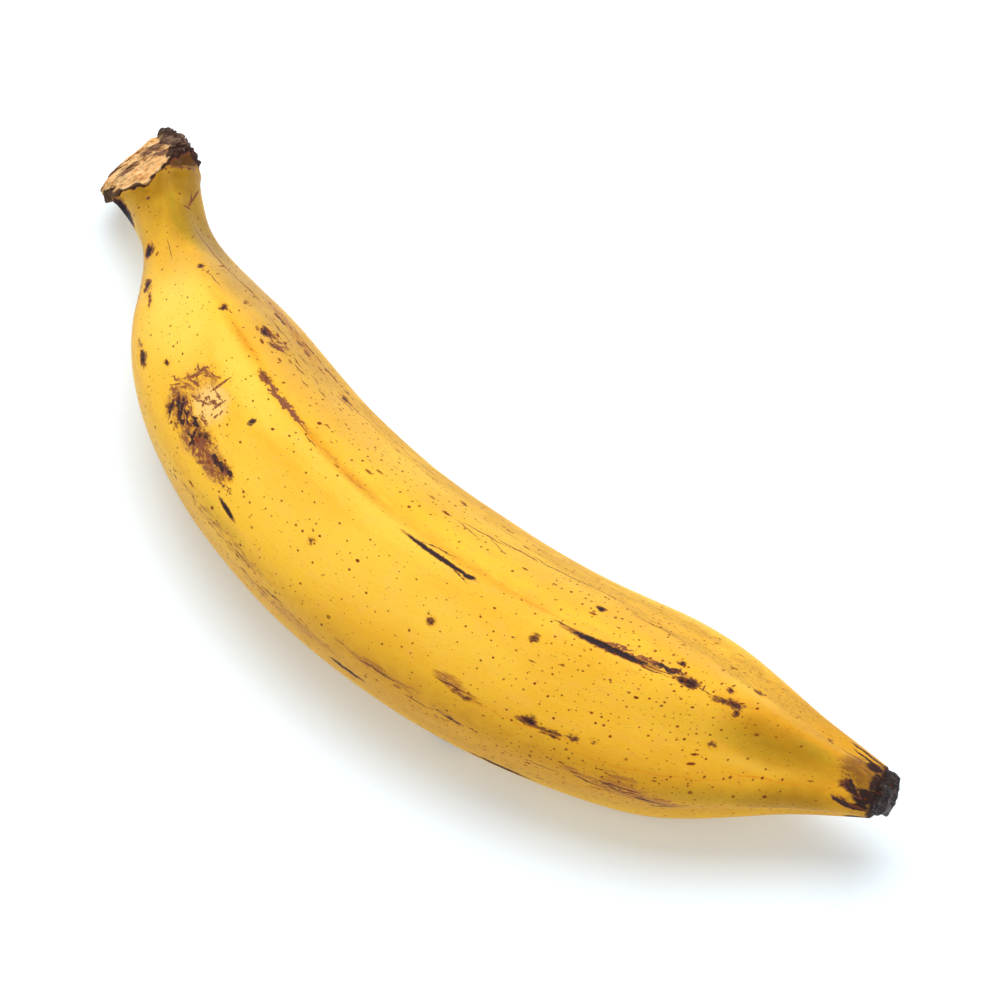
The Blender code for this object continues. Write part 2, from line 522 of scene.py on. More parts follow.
        stored = grid.outputs["Mesh"]
        for name, value, kind, domain in (
            ("OFBake", grid.outputs["UV Map"], "FLOAT2", "CORNER"),
            ("along", sampled("ring_distance"), "FLOAT", "POINT"),
            ("round", round_it, "FLOAT_VECTOR", "POINT"),
            ("girth", radius, "FLOAT", "POINT"),
        ):
            stored = graph.node("GeometryNodeStoreNamedAttribute", {
                "Geometry": stored, "Name": name, "Value": value,
            }, data_type=kind, domain=domain)
        shaped = graph.node("GeometryNodeSetPosition", {"Geometry": stored, "Position": skin})
        closed = graph.node("GeometryNodeMergeByDistance", {"Geometry": shaped, "Distance": 0.02})
        swell = graph.node("ShaderNodeTexNoise", {
            "Vector": graph.node("GeometryNodeInputPosition"), "Detail": 2.0, "Roughness": 0.45,
            "Scale": graph.math("DIVIDE", 1.0, given.outputs["Swell Length"]),
        })
        rise = graph.math("MULTIPLY", graph.math("SUBTRACT", swell.outputs[0], 0.5),
            given.outputs["Swell Height"])
        push = graph.vector("SCALE", graph.node("GeometryNodeInputNormal"), rise)
        swollen = graph.node("GeometryNodeSetPosition", {"Geometry": closed, "Offset": push})
        shaded = graph.node("GeometryNodeSetShadeSmooth", {"Geometry": swollen})
        real = graph.node("GeometryNodeRealizeInstances", {"Geometry": shaded})
        dressed = graph.node("GeometryNodeSetMaterial", {"Geometry": real, "Material": given.outputs["Skin"]})
        graph.feed(result.inputs[0], dressed)
        return graph

    @staticmethod
    def ridged_radius(graph: Graph, given: bpy.types.Node, angle: bpy.types.NodeSocket,
                      sampled: object) -> bpy.types.NodeSocket:
        """Wire the radius of a rounded polygon with one corner on each ridge.

        Args:
            graph: the sweep's graph.
            given: its group input node.
            angle: the angle round the spine.
            sampled: reads a value that the spine carries.

        Returns:
            The radius at each point.
        """
        power, level = 6.0, 1.045
        half = graph.math("DIVIDE", math.pi, given.outputs["Ridges"])
        turned = graph.math("SUBTRACT", graph.math("SUBTRACT", angle, sampled("ridge_angle")), half)
        off_face = graph.math("WRAP", turned, graph.math("MULTIPLY", half, -1), half)
        total = graph.math("POWER", graph.math("COSINE", off_face), power)
        for side in (-2, 2):
            beyond = graph.math("ADD", off_face, graph.math("MULTIPLY", half, side))
            reach = graph.math("MAXIMUM", graph.math("COSINE", beyond), 0.0)
            total = graph.math("ADD", total, graph.math("POWER", reach, power))
        polygon = graph.math("DIVIDE", graph.math("POWER", total, -1 / power), level)
        rounded = graph.math("DIVIDE", graph.math("SUBTRACT", polygon, 1.0), 0.048)
        ripple = graph.math("COSINE", graph.math("MULTIPLY", turned, given.outputs["Ridges"]))
        valleyed = graph.math("MULTIPLY", ripple, -1.0)
        shape = graph.node("ShaderNodeMix", {"Factor": sampled("hollow"), "A": rounded,
            "B": valleyed}).outputs[0]
        ridge = graph.math("MULTIPLY", shape, sampled("ridge"))
        oval = graph.math("COSINE", graph.math("MULTIPLY",
            graph.math("SUBTRACT", angle, given.outputs["Long Axis"]), 2))
        oval = graph.math("MULTIPLY", oval, graph.math("MULTIPLY", sampled("cushion"),
            given.outputs["Stretch"]))
        radius = graph.math("MULTIPLY", sampled("girth"), graph.math("ADD", ridge, 1.0))
        return graph.math("MULTIPLY", radius, graph.math("ADD", oval, 1.0))

    def build(self, material: bpy.types.Material) -> bpy.types.Object:
        """Sweep the skin, lay it down and press its underside flat.

        Args:
            material: the peel's finish.

        Returns:
            The piece.
        """
        piece = run_tree(self.spine_mesh(), self.sweep_tree(), {
            "Columns": self.columns, "Ridges": self.form.ridges, "Facing": math.radians(self.facing),
            "Crowding": self.crowding, "Long Axis": math.radians(self.form.crown_long_axis),
            "Stretch": self.form.crown_stretch, "Slant": self.form.crown_slant,
            "Swell Height": self.swell_height, "Swell Length": self.swell_length, "Skin": material,
        }, "peel")
        points = self.form.to_world(self.sculpt(piece.data))
        soft = self.soft_contact * MM
        points[:, 2] = soft * np.logaddexp(0, points[:, 2] / soft)
        write_points(piece.data, points)
        return piece

    def sculpt(self, mesh: bpy.types.Mesh) -> np.ndarray:
        """Tuck the skin under the crown and the tip, and dent it.

        Args:
            mesh: the swept skin, in mm.

        Returns:
            Its new points.
        """
        points, wrap = read_points(mesh), read_points(mesh, "round")
        along, girth = read_values(mesh, "along"), read_values(mesh, "girth")
        angle = np.arctan2(wrap[:, 1], wrap[:, 0])
        rim = self.form.ragged_rim(angle)
        out = self.form.outward(along, angle)
        rise = 0.35 * np.exp(-((along - rim - 1.2) / 1.1) ** 2)
        for place, degrees, length, width, depth in self.dents:
            sideways = np.radians((np.degrees(angle) - degrees + 180) % 360 - 180) * girth
            rise = rise - depth * np.exp(-((along - place) / length) ** 2 - (sideways / width) ** 2)
        rise = rise - 0.24 * girth * smooth(along, 284.4, 285.8)
        points = points + out * rise[:, None]
        full = self.form.profile(np.maximum(along, 0))[0]
        share = np.clip(girth / full, 0, 1) * (along < 1) + (along >= 1)
        under = smooth(rim - along, -0.1, 1.3)[:, None]
        tucked = self.form.stump(along * 0.78 + 3.2, angle, share, -1.25 * share)
        return points * (1 - under) + tucked * under


# Marks on the skin ---------------------------------------------------------

class Kind(Enum):
    """What a mark does to the skin; each kind has its own field on the vertices."""

    SCAR = "scar"
    BRUISE = "bruise"
    WORN = "worn"
    RUST = "rust"
    GREEN = "green"
    AMBER_AND_SHADE = "amber"
    PALE = "pale"
    TAN = "tan"
    CORK = "cork"
    CHAR = "char"
    SPECKS = "specks"
    OLIVE_AND_SHADE = "olive_and_shade"
    PAINTED_CAP_SHADOW = "painted_cap_shadow"
    TEA = "tea"


@dataclass(frozen=True)
class Mark:
    """One blemish or tint, some of them painted shade: where it is, how big, and which way it points.

    Distances and sizes are in mm, angles in degrees.
    """

    kind: Kind
    along: float
    angle: float
    half_length: float
    half_width: float
    turn: float = 0.0
    strength: float = 1.0

    def reach(self, along: np.ndarray, degrees: np.ndarray, girth: np.ndarray) -> np.ndarray:
        """Distance from the mark's middle, 1 at its edge.

        Args:
            along: distances from the crown, mm.
            degrees: angles round the fruit.
            girth: radius at each point, mm.

        Returns:
            One value for each point.
        """
        lengthwise = along - self.along
        sideways = np.radians((degrees - self.angle + 180) % 360 - 180) * girth
        turn = math.radians(self.turn)
        x = lengthwise * math.cos(turn) + sideways * math.sin(turn)
        y = sideways * math.cos(turn) - lengthwise * math.sin(turn)
        return np.sqrt((x / self.half_length) ** 2 + (y / self.half_width) ** 2)


MARKS = (
    # neck
    Mark(Kind.SCAR, 42, 28, 2.6, 1.3), Mark(Kind.SCAR, 57, 31, 3.2, 0.9, 8),
    Mark(Kind.SCAR, 63, 36, 2.0, 0.4), Mark(Kind.SCAR, 61, 87, 1.2, 0.9), Mark(Kind.SCAR, 82, 87, 1.2, 1.0),
    Mark(Kind.SCAR, 16.5, -20, 8.0, 3.2, 8), Mark(Kind.CHAR, 14, -18, 6, 4.4, 8),
    Mark(Kind.GREEN, 37, 94, 20, 2.8, 4, 0.95), Mark(Kind.GREEN, 22, 104, 8, 3, 0, 0.7),
    # The two marks at 14 mm, under the cap's lip, paint the shadow that the overhanging cap casts into the
    # recessed skin.
    Mark(Kind.GREEN, 26, 62, 9, 2, 0, 0.4), Mark(Kind.PAINTED_CAP_SHADOW, 14.2, 112, 3.0, 3.4, 0, 1.5),
    Mark(Kind.PAINTED_CAP_SHADOW, 14.4, 134, 2.8, 3.8, 0, 1.5), Mark(Kind.OLIVE_AND_SHADE, 18, 70, 12, 10, 0, 0.85),
    # The olive marks on the neck and shoulder are partly olive-brown tint and partly painted shade, most of
    # it on the facet near 120 to 128 degrees; those near the tip are stains.
    Mark(Kind.OLIVE_AND_SHADE, 20, 122, 11, 9, 0, 0.95), Mark(Kind.OLIVE_AND_SHADE, 39, 124, 26, 8, 0, 0.8),
    Mark(Kind.OLIVE_AND_SHADE, 34, 90, 16, 4.5, 0, 0.55), Mark(Kind.OLIVE_AND_SHADE, 16, 20, 8, 8, 0, 0.35),
    Mark(Kind.OLIVE_AND_SHADE, 68, 120, 20, 11, 0, 0.4), Mark(Kind.OLIVE_AND_SHADE, 267, -4, 12, 5, 0, 0.6),
    # The amber mark at 205 mm, -12 degrees, is partly amber tint and partly painted shade along the
    # underside.
    Mark(Kind.AMBER_AND_SHADE, 205, -12, 90, 15, 0, 1.0), Mark(Kind.SCAR, 16.8, 106, 0.4, 2.2),
    Mark(Kind.SCAR, 17.8, 119, 0.3, 1.6), Mark(Kind.SCAR, 15, 97, 1.0, 0.9),
    Mark(Kind.SCAR, 23, 50, 0.4, 0.35), Mark(Kind.SCAR, 24, 28, 0.3, 0.3),
    Mark(Kind.SCAR, 31, 50, 0.2, 0.2), Mark(Kind.AMBER_AND_SHADE, 21, 66, 5, 7, 0, 0.9),
    # shoulder
    Mark(Kind.SCAR, 92.8, 104.8, 2.6, 1.6, -8, 1.0), Mark(Kind.SCAR, 98.8, 102, 1.7, 0.8, 30, 0.9),
    Mark(Kind.OLIVE_AND_SHADE, 24, 62, 16, 4.5, 0, 0.5), Mark(Kind.OLIVE_AND_SHADE, 262, 62, 13, 3.5, 0, 0.4),
    Mark(Kind.SCAR, 97, 134, 4.5, 0.5, 2), Mark(Kind.SCAR, 109, 134, 5.5, 0.5, 2),
    Mark(Kind.BRUISE, 192.5, 17.5, 4.6, 1.4, -22, 0.9), Mark(Kind.BRUISE, 195.2, 15.6, 2.2, 0.9, -22, 1.0),
    Mark(Kind.TAN, 100, 120, 40, 12, -6, 1.0), Mark(Kind.RUST, 88, 132, 22, 3.0, -4, 0.9),
    Mark(Kind.SCAR, 84, 128, 2.6, 0.5, -4), Mark(Kind.SCAR, 97, 127, 3.4, 0.5, -4),
    Mark(Kind.SCAR, 119, 126, 2.4, 0.8), Mark(Kind.OLIVE_AND_SHADE, 92, 124, 26, 10, -4, 0.3),
    Mark(Kind.SCAR, 109.4, 84, 2.1, 1.0, -4, 0.9), Mark(Kind.RUST, 118, 83.5, 9, 1.5, -3, 0.5),
    Mark(Kind.RUST, 143, 80, 17, 1.2, -4, 0.5), Mark(Kind.SCAR, 80, 24, 2.6, 1.05),
    Mark(Kind.SCAR, 75, 23, 1.2, 0.7), Mark(Kind.SCAR, 87.6, 39, 0.8, 0.45, 22),
    # the big bruise
    Mark(Kind.BRUISE, 99, 50, 7, 6.5, 0, 0.7), Mark(Kind.BRUISE, 100, 34, 7, 5, 0, 0.95),
    Mark(Kind.BRUISE, 110, 32, 8, 5.5, 0, 1.0), Mark(Kind.BRUISE, 118, 31, 8, 4.5, -8, 0.95),
    Mark(Kind.RUST, 118, 31, 7.5, 3.8, -6, 0.9), Mark(Kind.RUST, 97, 44, 4.5, 4.4, 0, 0.62),
    Mark(Kind.RUST, 102, 60, 2.6, 2.4, 0, 0.75), Mark(Kind.RUST, 108, 29, 6.0, 3.4, 0, 0.75),
    Mark(Kind.RUST, 97, 58, 3.0, 2.2, 60, 0.6), Mark(Kind.RUST, 99, 33, 4.5, 2.6, 0, 0.7),
    Mark(Kind.SPECKS, 106, 48, 14, 9, 0, 1.0), Mark(Kind.SCAR, 111.2, 34.5, 2.6, 1.6, 14, 0.5),
    Mark(Kind.SCAR, 106.2, 36, 1.1, 1.0, 0, 0.5), Mark(Kind.SCAR, 121, 34, 2.2, 1.2, -12, 0.5),
    Mark(Kind.SCAR, 101.5, 32, 2.4, 0.8, -40, 0.5), Mark(Kind.SCAR, 98.4, 29, 1.3, 1.0, 0, 0.5),
    Mark(Kind.WORN, 106, 51, 6.5, 5.6, 20, 0.85),
    # long dark streaks
    Mark(Kind.SCAR, 220, 70.6, 6.5, 0.6, -1, 1.5), Mark(Kind.RUST, 226, 71.5, 13.0, 1.6, 0, 0.55),
    Mark(Kind.SCAR, 239.2, 71, 2.3, 1.3, 0, 0.9), Mark(Kind.SCAR, 249.4, 70.6, 3.4, 0.85, 8),
    Mark(Kind.SCAR, 246.6, 68.6, 0.6, 0.55), Mark(Kind.SCAR, 251, 66, 0.7, 0.6),
    Mark(Kind.RUST, 249, 70, 4.5, 1.6, 0, 0.5),
    # round spots
    Mark(Kind.SCAR, 214, 94, 1.2, 1.1), Mark(Kind.SCAR, 205, 59, 0.95, 0.95),
    Mark(Kind.SCAR, 183, 42, 0.8, 0.8), Mark(Kind.SCAR, 236, 80, 0.75, 0.7),
    Mark(Kind.SCAR, 248, 80, 0.8, 0.8), Mark(Kind.SCAR, 253, 102, 1.0, 1.2),
    Mark(Kind.SCAR, 248, 39, 0.8, 0.8), Mark(Kind.SCAR, 150, 40, 0.6, 0.6),
    Mark(Kind.SCAR, 167, 120, 1.0, 0.7),
    # second ridge and the lower face
    Mark(Kind.SCAR, 210, 18, 2.3, 1.1), Mark(Kind.SCAR, 215, 16.5, 3.0, 0.75),
    Mark(Kind.SCAR, 220.4, 18, 1.2, 0.7), Mark(Kind.SCAR, 224.5, 19, 0.6, 0.5),
    Mark(Kind.RUST, 192, 19, 4.5, 2.0, -4, 1.0), Mark(Kind.RUST, 196, 16, 4.0, 1.6, 0, 1.0),
    Mark(Kind.RUST, 193, -1, 4.0, 1.5, -7, 1.0), Mark(Kind.RUST, 175, 3, 15.0, 2.2, 0, 0.8),
    Mark(Kind.RUST, 222, -1, 4.5, 1.5, -14, 1.0), Mark(Kind.RUST, 231.5, 5, 5.0, 1.4, -7, 0.9),
    Mark(Kind.SCAR, 197, 15.5, 2.0, 0.4), Mark(Kind.SCAR, 194, -2, 2.0, 0.4),
    Mark(Kind.SCAR, 192, -6, 2.0, 0.4), Mark(Kind.SCAR, 167, -18, 5.0, 1.2),
    Mark(Kind.SCAR, 203, -43, 7.0, 1.8), Mark(Kind.RUST, 232, -4, 9.0, 4.5, -12, 1.0),
    Mark(Kind.RUST, 240, -14, 8.0, 4.0, -30, 1.0), Mark(Kind.SCAR, 230, -3, 3.0, 0.5, -20),
    Mark(Kind.SCAR, 236, -11, 3.6, 0.5, -30), Mark(Kind.SCAR, 241, -25, 3.0, 0.7),
    Mark(Kind.RUST, 128, 6, 24, 3.0, 0, 0.7), Mark(Kind.RUST, 150, -8, 24, 3.5, 0, 0.7),
    # broad tints
    Mark(Kind.PALE, 76, 58, 22, 11, 0, 1.0), Mark(Kind.PALE, 104, 74, 30, 4.5, -4, 0.8),
    Mark(Kind.PALE, 150, 72, 40, 4, -3, 0.5), Mark(Kind.PALE, 160, 45, 60, 9, 0, 0.4),
    Mark(Kind.TAN, 105, 112, 55, 12, -6, 0.8), Mark(Kind.TAN, 190, 104, 70, 9, -5, 0.45),
    # On the neck, the tan mark at 36 mm, 126 degrees, and the green one at 36 mm, 128 degrees, on the right
    # facet, and the tan marks at 32 and 46 mm on the left facet, are partly tint and partly painted shade on
    # those facets.
    Mark(Kind.TAN, 36, 126, 24, 5.5, 0, 1.0), Mark(Kind.AMBER_AND_SHADE, 28, 70, 30, 12, 0, 0.42),
    Mark(Kind.GREEN, 36, 128, 20, 5, 0, 0.8), Mark(Kind.TAN, 32, 26, 22, 4, 0, 0.9),
    # The amber mark at 140 mm, -30 degrees, is partly painted shade along the underside.
    Mark(Kind.AMBER_AND_SHADE, 140, -30, 110, 16, 0, 0.6), Mark(Kind.TAN, 46, 12, 20, 5, 0, 1.0),
    Mark(Kind.AMBER_AND_SHADE, 142, 80, 24, 1.5, -4, 0.7), Mark(Kind.AMBER_AND_SHADE, 96, 87, 11, 1.3, 0, 0.6),
    Mark(Kind.AMBER_AND_SHADE, 185, 76, 26, 1.2, -2, 0.4), Mark(Kind.TAN, 72, 122, 28, 13, 0, 1.0),
    Mark(Kind.OLIVE_AND_SHADE, 62, 128, 24, 8, 0, 0.42), Mark(Kind.AMBER_AND_SHADE, 235, 0, 45, 12, 0, 0.35),
    Mark(Kind.GREEN, 257, 50, 12, 3, 0, 0.35), Mark(Kind.GREEN, 270, 66, 7, 2, 0, 0.6),
    Mark(Kind.GREEN, 250, 0, 12, 3, 0, 0.4), Mark(Kind.GREEN, 128, 12, 10, 2.5, 0, 0.3),
    Mark(Kind.TAN, 150, 250, 110, 16, 0, 0.5),
    # far side and underside
    Mark(Kind.SCAR, 70, 190, 4.0, 1.1), Mark(Kind.SCAR, 96, 215, 2.2, 1.4, 25),
    Mark(Kind.SCAR, 134, 172, 6.5, 0.8), Mark(Kind.BRUISE, 150, 205, 14, 7, 5, 0.7),
    Mark(Kind.SCAR, 153, 203, 4.0, 1.3, 10), Mark(Kind.SCAR, 185, 178, 3.0, 1.0),
    Mark(Kind.SCAR, 215, 200, 5.0, 0.9), Mark(Kind.SCAR, 243, 182, 2.0, 1.3),
    Mark(Kind.RUST, 226, 215, 9.0, 3.5, 0, 0.8), Mark(Kind.SCAR, 118, 262, 3.2, 1.0),
    Mark(Kind.SCAR, 168, 245, 2.0, 1.4), Mark(Kind.SCAR, 205, 255, 6.0, 0.8),
    Mark(Kind.RUST, 140, 285, 10.0, 4.0, 0, 0.8), Mark(Kind.SCAR, 186, 292, 4.0, 1.0),
    Mark(Kind.SCAR, 228, 285, 2.4, 1.2), Mark(Kind.SCAR, 84, 300, 3.0, 1.0),
    Mark(Kind.SCAR, 45, 210, 3.0, 0.8), Mark(Kind.SCAR, 52, 268, 2.0, 0.9),
    # tip
    Mark(Kind.AMBER_AND_SHADE, 262, 62, 16, 9, 0, 1.0), Mark(Kind.AMBER_AND_SHADE, 268, 10, 14, 6, 0, 0.8),
    Mark(Kind.TEA, 280.5, 72, 6.5, 5.6, 0, 1.0), Mark(Kind.TEA, 282.5, 30, 4.0, 5.0, 0, 0.8),
    Mark(Kind.PALE, 276, 98, 8, 1.3, 4, 0.8), Mark(Kind.PALE, 262, 33, 14, 2.2, 3, 0.6),
    Mark(Kind.CHAR, 284.4, 58, 1.7, 6, 0, 0.9), Mark(Kind.CHAR, 282.6, 97, 2.6, 2.0, 0, 1.3),
    Mark(Kind.CHAR, 282.6, 27, 2.9, 2.5, -20, 1.4), Mark(Kind.CHAR, 282.6, 5, 2.6, 1.5, 0, 1.2),
    Mark(Kind.SCAR, 278.2, 44, 1.5, 0.9, -40, 0.7), Mark(Kind.SCAR, 271, 100, 1.0, 0.6),
    Mark(Kind.CHAR, 281, 170, 4.0, 2.0), Mark(Kind.SCAR, 278, 220, 3.2, 0.8),
    Mark(Kind.CHAR, 281, 250, 4.0, 2.2), Mark(Kind.CHAR, 281.5, 310, 3.6, 2.4),
    Mark(Kind.SCAR, 276, 290, 3.0, 0.7),
    # where the fine specks crowd
    Mark(Kind.SPECKS, 130, 112, 75, 11, -3, 0.62), Mark(Kind.SPECKS, 225, 105, 40, 12, -2, 0.9),
    Mark(Kind.SPECKS, 120, -5, 50, 12, 0, 0.8), Mark(Kind.SPECKS, 225, -8, 50, 13, 0, 1.0),
    Mark(Kind.SPECKS, 232, 60, 35, 16, 0, 0.75), Mark(Kind.SPECKS, 160, 200, 90, 26, 0, 0.9),
    Mark(Kind.SPECKS, 160, 280, 90, 22, 0, 0.9),
)


@dataclass
class Weathering:
    """Everything that has happened to the skin, and the painted shade on its neck, underside and under the
    cap, as fields that the finish reads.
    """

    form: FruitForm
    scar_floor: float = -4.0
    cork_path: tuple = (
        (70, 142), (95, 139), (140, 138), (180, 130), (210, 122), (240, 116), (270, 114), (280, 118),
    )
    cork_width: float = 7.0
    marks: tuple[Mark, ...] = MARKS

    def fields(self, piece: bpy.types.Object) -> dict[str, np.ndarray]:
        """Work out every field on the skin's vertices.

        Args:
            piece: the skin.

        Returns:
            Values by field name.
        """
        mesh = piece.data
        along, girth = read_values(mesh, "along"), read_values(mesh, "girth")
        wrap = read_points(mesh, "round")
        angle = np.arctan2(wrap[:, 1], wrap[:, 0])
        degrees = np.degrees(angle)
        fields = {kind.value: np.zeros(len(along)) for kind in Kind}
        fields["scar"] += self.scar_floor
        for mark in self.marks:
            near = mark.reach(along, degrees, girth)
            field = fields[mark.kind.value]
            if mark.kind is Kind.SCAR:
                depth = mark.strength * min(mark.half_length, mark.half_width) * (1 - near)
                np.maximum(field, depth, out=field)
            else:
                np.maximum(field, mark.strength * (1 - smooth(near, 0.35, 1.25)), out=field)
        self.add_cork(fields, along, degrees, girth)
        self.add_ends(fields, along, angle)
        fields["straight"] = np.column_stack([along, girth * wrap[:, 0], girth * wrap[:, 1]])
        fields["ridge_gap"] = self.ridge_gap(along, angle) * girth
        return fields

    def add_cork(self, fields: dict[str, np.ndarray], along: np.ndarray, degrees: np.ndarray,
                 girth: np.ndarray) -> None:
        """Add the corky, tanned strips along two of the ridges."""
        path = np.array(self.cork_path, float)
        for offset, strength, width in ((0.0, 1.0, self.cork_width), (-216.0, 0.55, 4.0), (76.0, 0.7, 5.0)):
            middle = np.interp(along, path[:, 0], path[:, 1]) + offset
            gap = np.abs((degrees - middle + 180) % 360 - 180) * math.pi / 180 * girth
            ends = smooth(along, 60, 110) * smooth(-along, -284, -262)
            field = strength * ends * (1 - smooth(gap, width * 0.45, width * 1.3))
            fields["cork"] = np.maximum(fields["cork"], field)

    def add_ends(self, fields: dict[str, np.ndarray], along: np.ndarray, angle: np.ndarray) -> None:
        """Darken the skin where it meets the torn crown and the dried tip."""
        below_rim = along - self.form.ragged_rim(angle)
        fields["scar"] = np.maximum(fields["scar"], 0.75 - np.abs(below_rim) * 0.9)
        fields["amber"] = np.maximum(fields["amber"], 0.8 * (1 - smooth(below_rim, 1.5, 7.5)))
        fields["char"] = np.maximum(fields["char"], smooth(along, 282.2, 285.2))
        fields["tea"] = np.maximum(fields["tea"], 0.6 * smooth(along, 276, 284))
        fields["amber"] = np.maximum(fields["amber"], 0.9 * smooth(along, 250, 272))
        fields["green"] = np.maximum(fields["green"], 0.22 * (1 - smooth(along, 35, 75)))

    def ridge_gap(self, along: np.ndarray, angle: np.ndarray) -> np.ndarray:
        """Angle to the nearest ridge, radians."""
        spacing = TAU / self.form.ridges
        turned = angle - self.form.ridge_angle(along)
        return np.abs((turned + spacing / 2) % spacing - spacing / 2)

    def paint(self, piece: bpy.types.Object) -> None:
        """Store the fields on the skin's vertices."""
        for name, values in self.fields(piece).items():
            write_field(piece.data, name, values)


def grid_mesh(name: str, points: np.ndarray, rows: int, columns: int, fields: dict[str, np.ndarray],
              close_end: bool = True) -> bpy.types.Object:
    """A smooth tube of quads, closed at its last row and open at its first.

    Args:
        name: the piece's name.
        points: one row of coordinates for each point, ring by ring.
        rows: rings.
        columns: points in a ring.
        fields: values to store on the points, by name.
        close_end: whether the last ring is drawn together to one point.

    Returns:
        The new object.
    """
    at = np.arange(rows * columns).reshape(rows, columns)
    after = np.roll(at, -1, axis=1)
    quads = np.stack([at[:-1], after[:-1], after[1:], at[1:]], axis=-1).reshape(-1, 4)
    mesh = bpy.data.meshes.new(name)
    mesh.from_pydata(points.tolist(), [], quads.tolist())
    for field_name, values in fields.items():
        write_field(mesh, field_name, values)
    ring, turn = np.divmod(quads.ravel(), columns)
    first = np.tile([0, 1, 1, 0], len(quads))
    side = (quads[:, 0] % columns).repeat(4) + first
    layer = mesh.uv_layers.new(name="OFBake")
    chart = np.column_stack([side / columns, ring / (rows - 1)])
    layer.data.foreach_set("uv", chart.astype(np.float32).ravel())
    if close_end:
        shape = bmesh.new()
        shape.from_mesh(mesh)
        bmesh.ops.remove_doubles(shape, verts=shape.verts, dist=1e-7)
        bmesh.ops.recalc_face_normals(shape, faces=shape.faces)
        shape.to_mesh(mesh)
        shape.free()
    mesh.shade_smooth()
    return add_object(name, mesh)


def roughness_of(points: np.ndarray, size: float, octaves: int = 4, ridged: bool = False) -> np.ndarray:
    """Fractal noise at points, about -1 to 1; ridged noise runs from about 0 to 2.

    Args:
        points: coordinates in mm.
        size: width of the biggest lumps, mm.
        octaves: how many finer layers.
        ridged: whether to give sharp crests.

    Returns:
        One value for each point.
    """
    if ridged:
        values = [noise.ridged_multi_fractal(Vector(p) / size, 1.0, 2.1, octaves, 1.0,
            2.0) for p in points.tolist()]
    else:
        values = [noise.fractal(Vector(p) / size, 0.8, 2.1, octaves) for p in points.tolist()]
    return np.array(values)


# The torn crown ------------------------------------------------------------

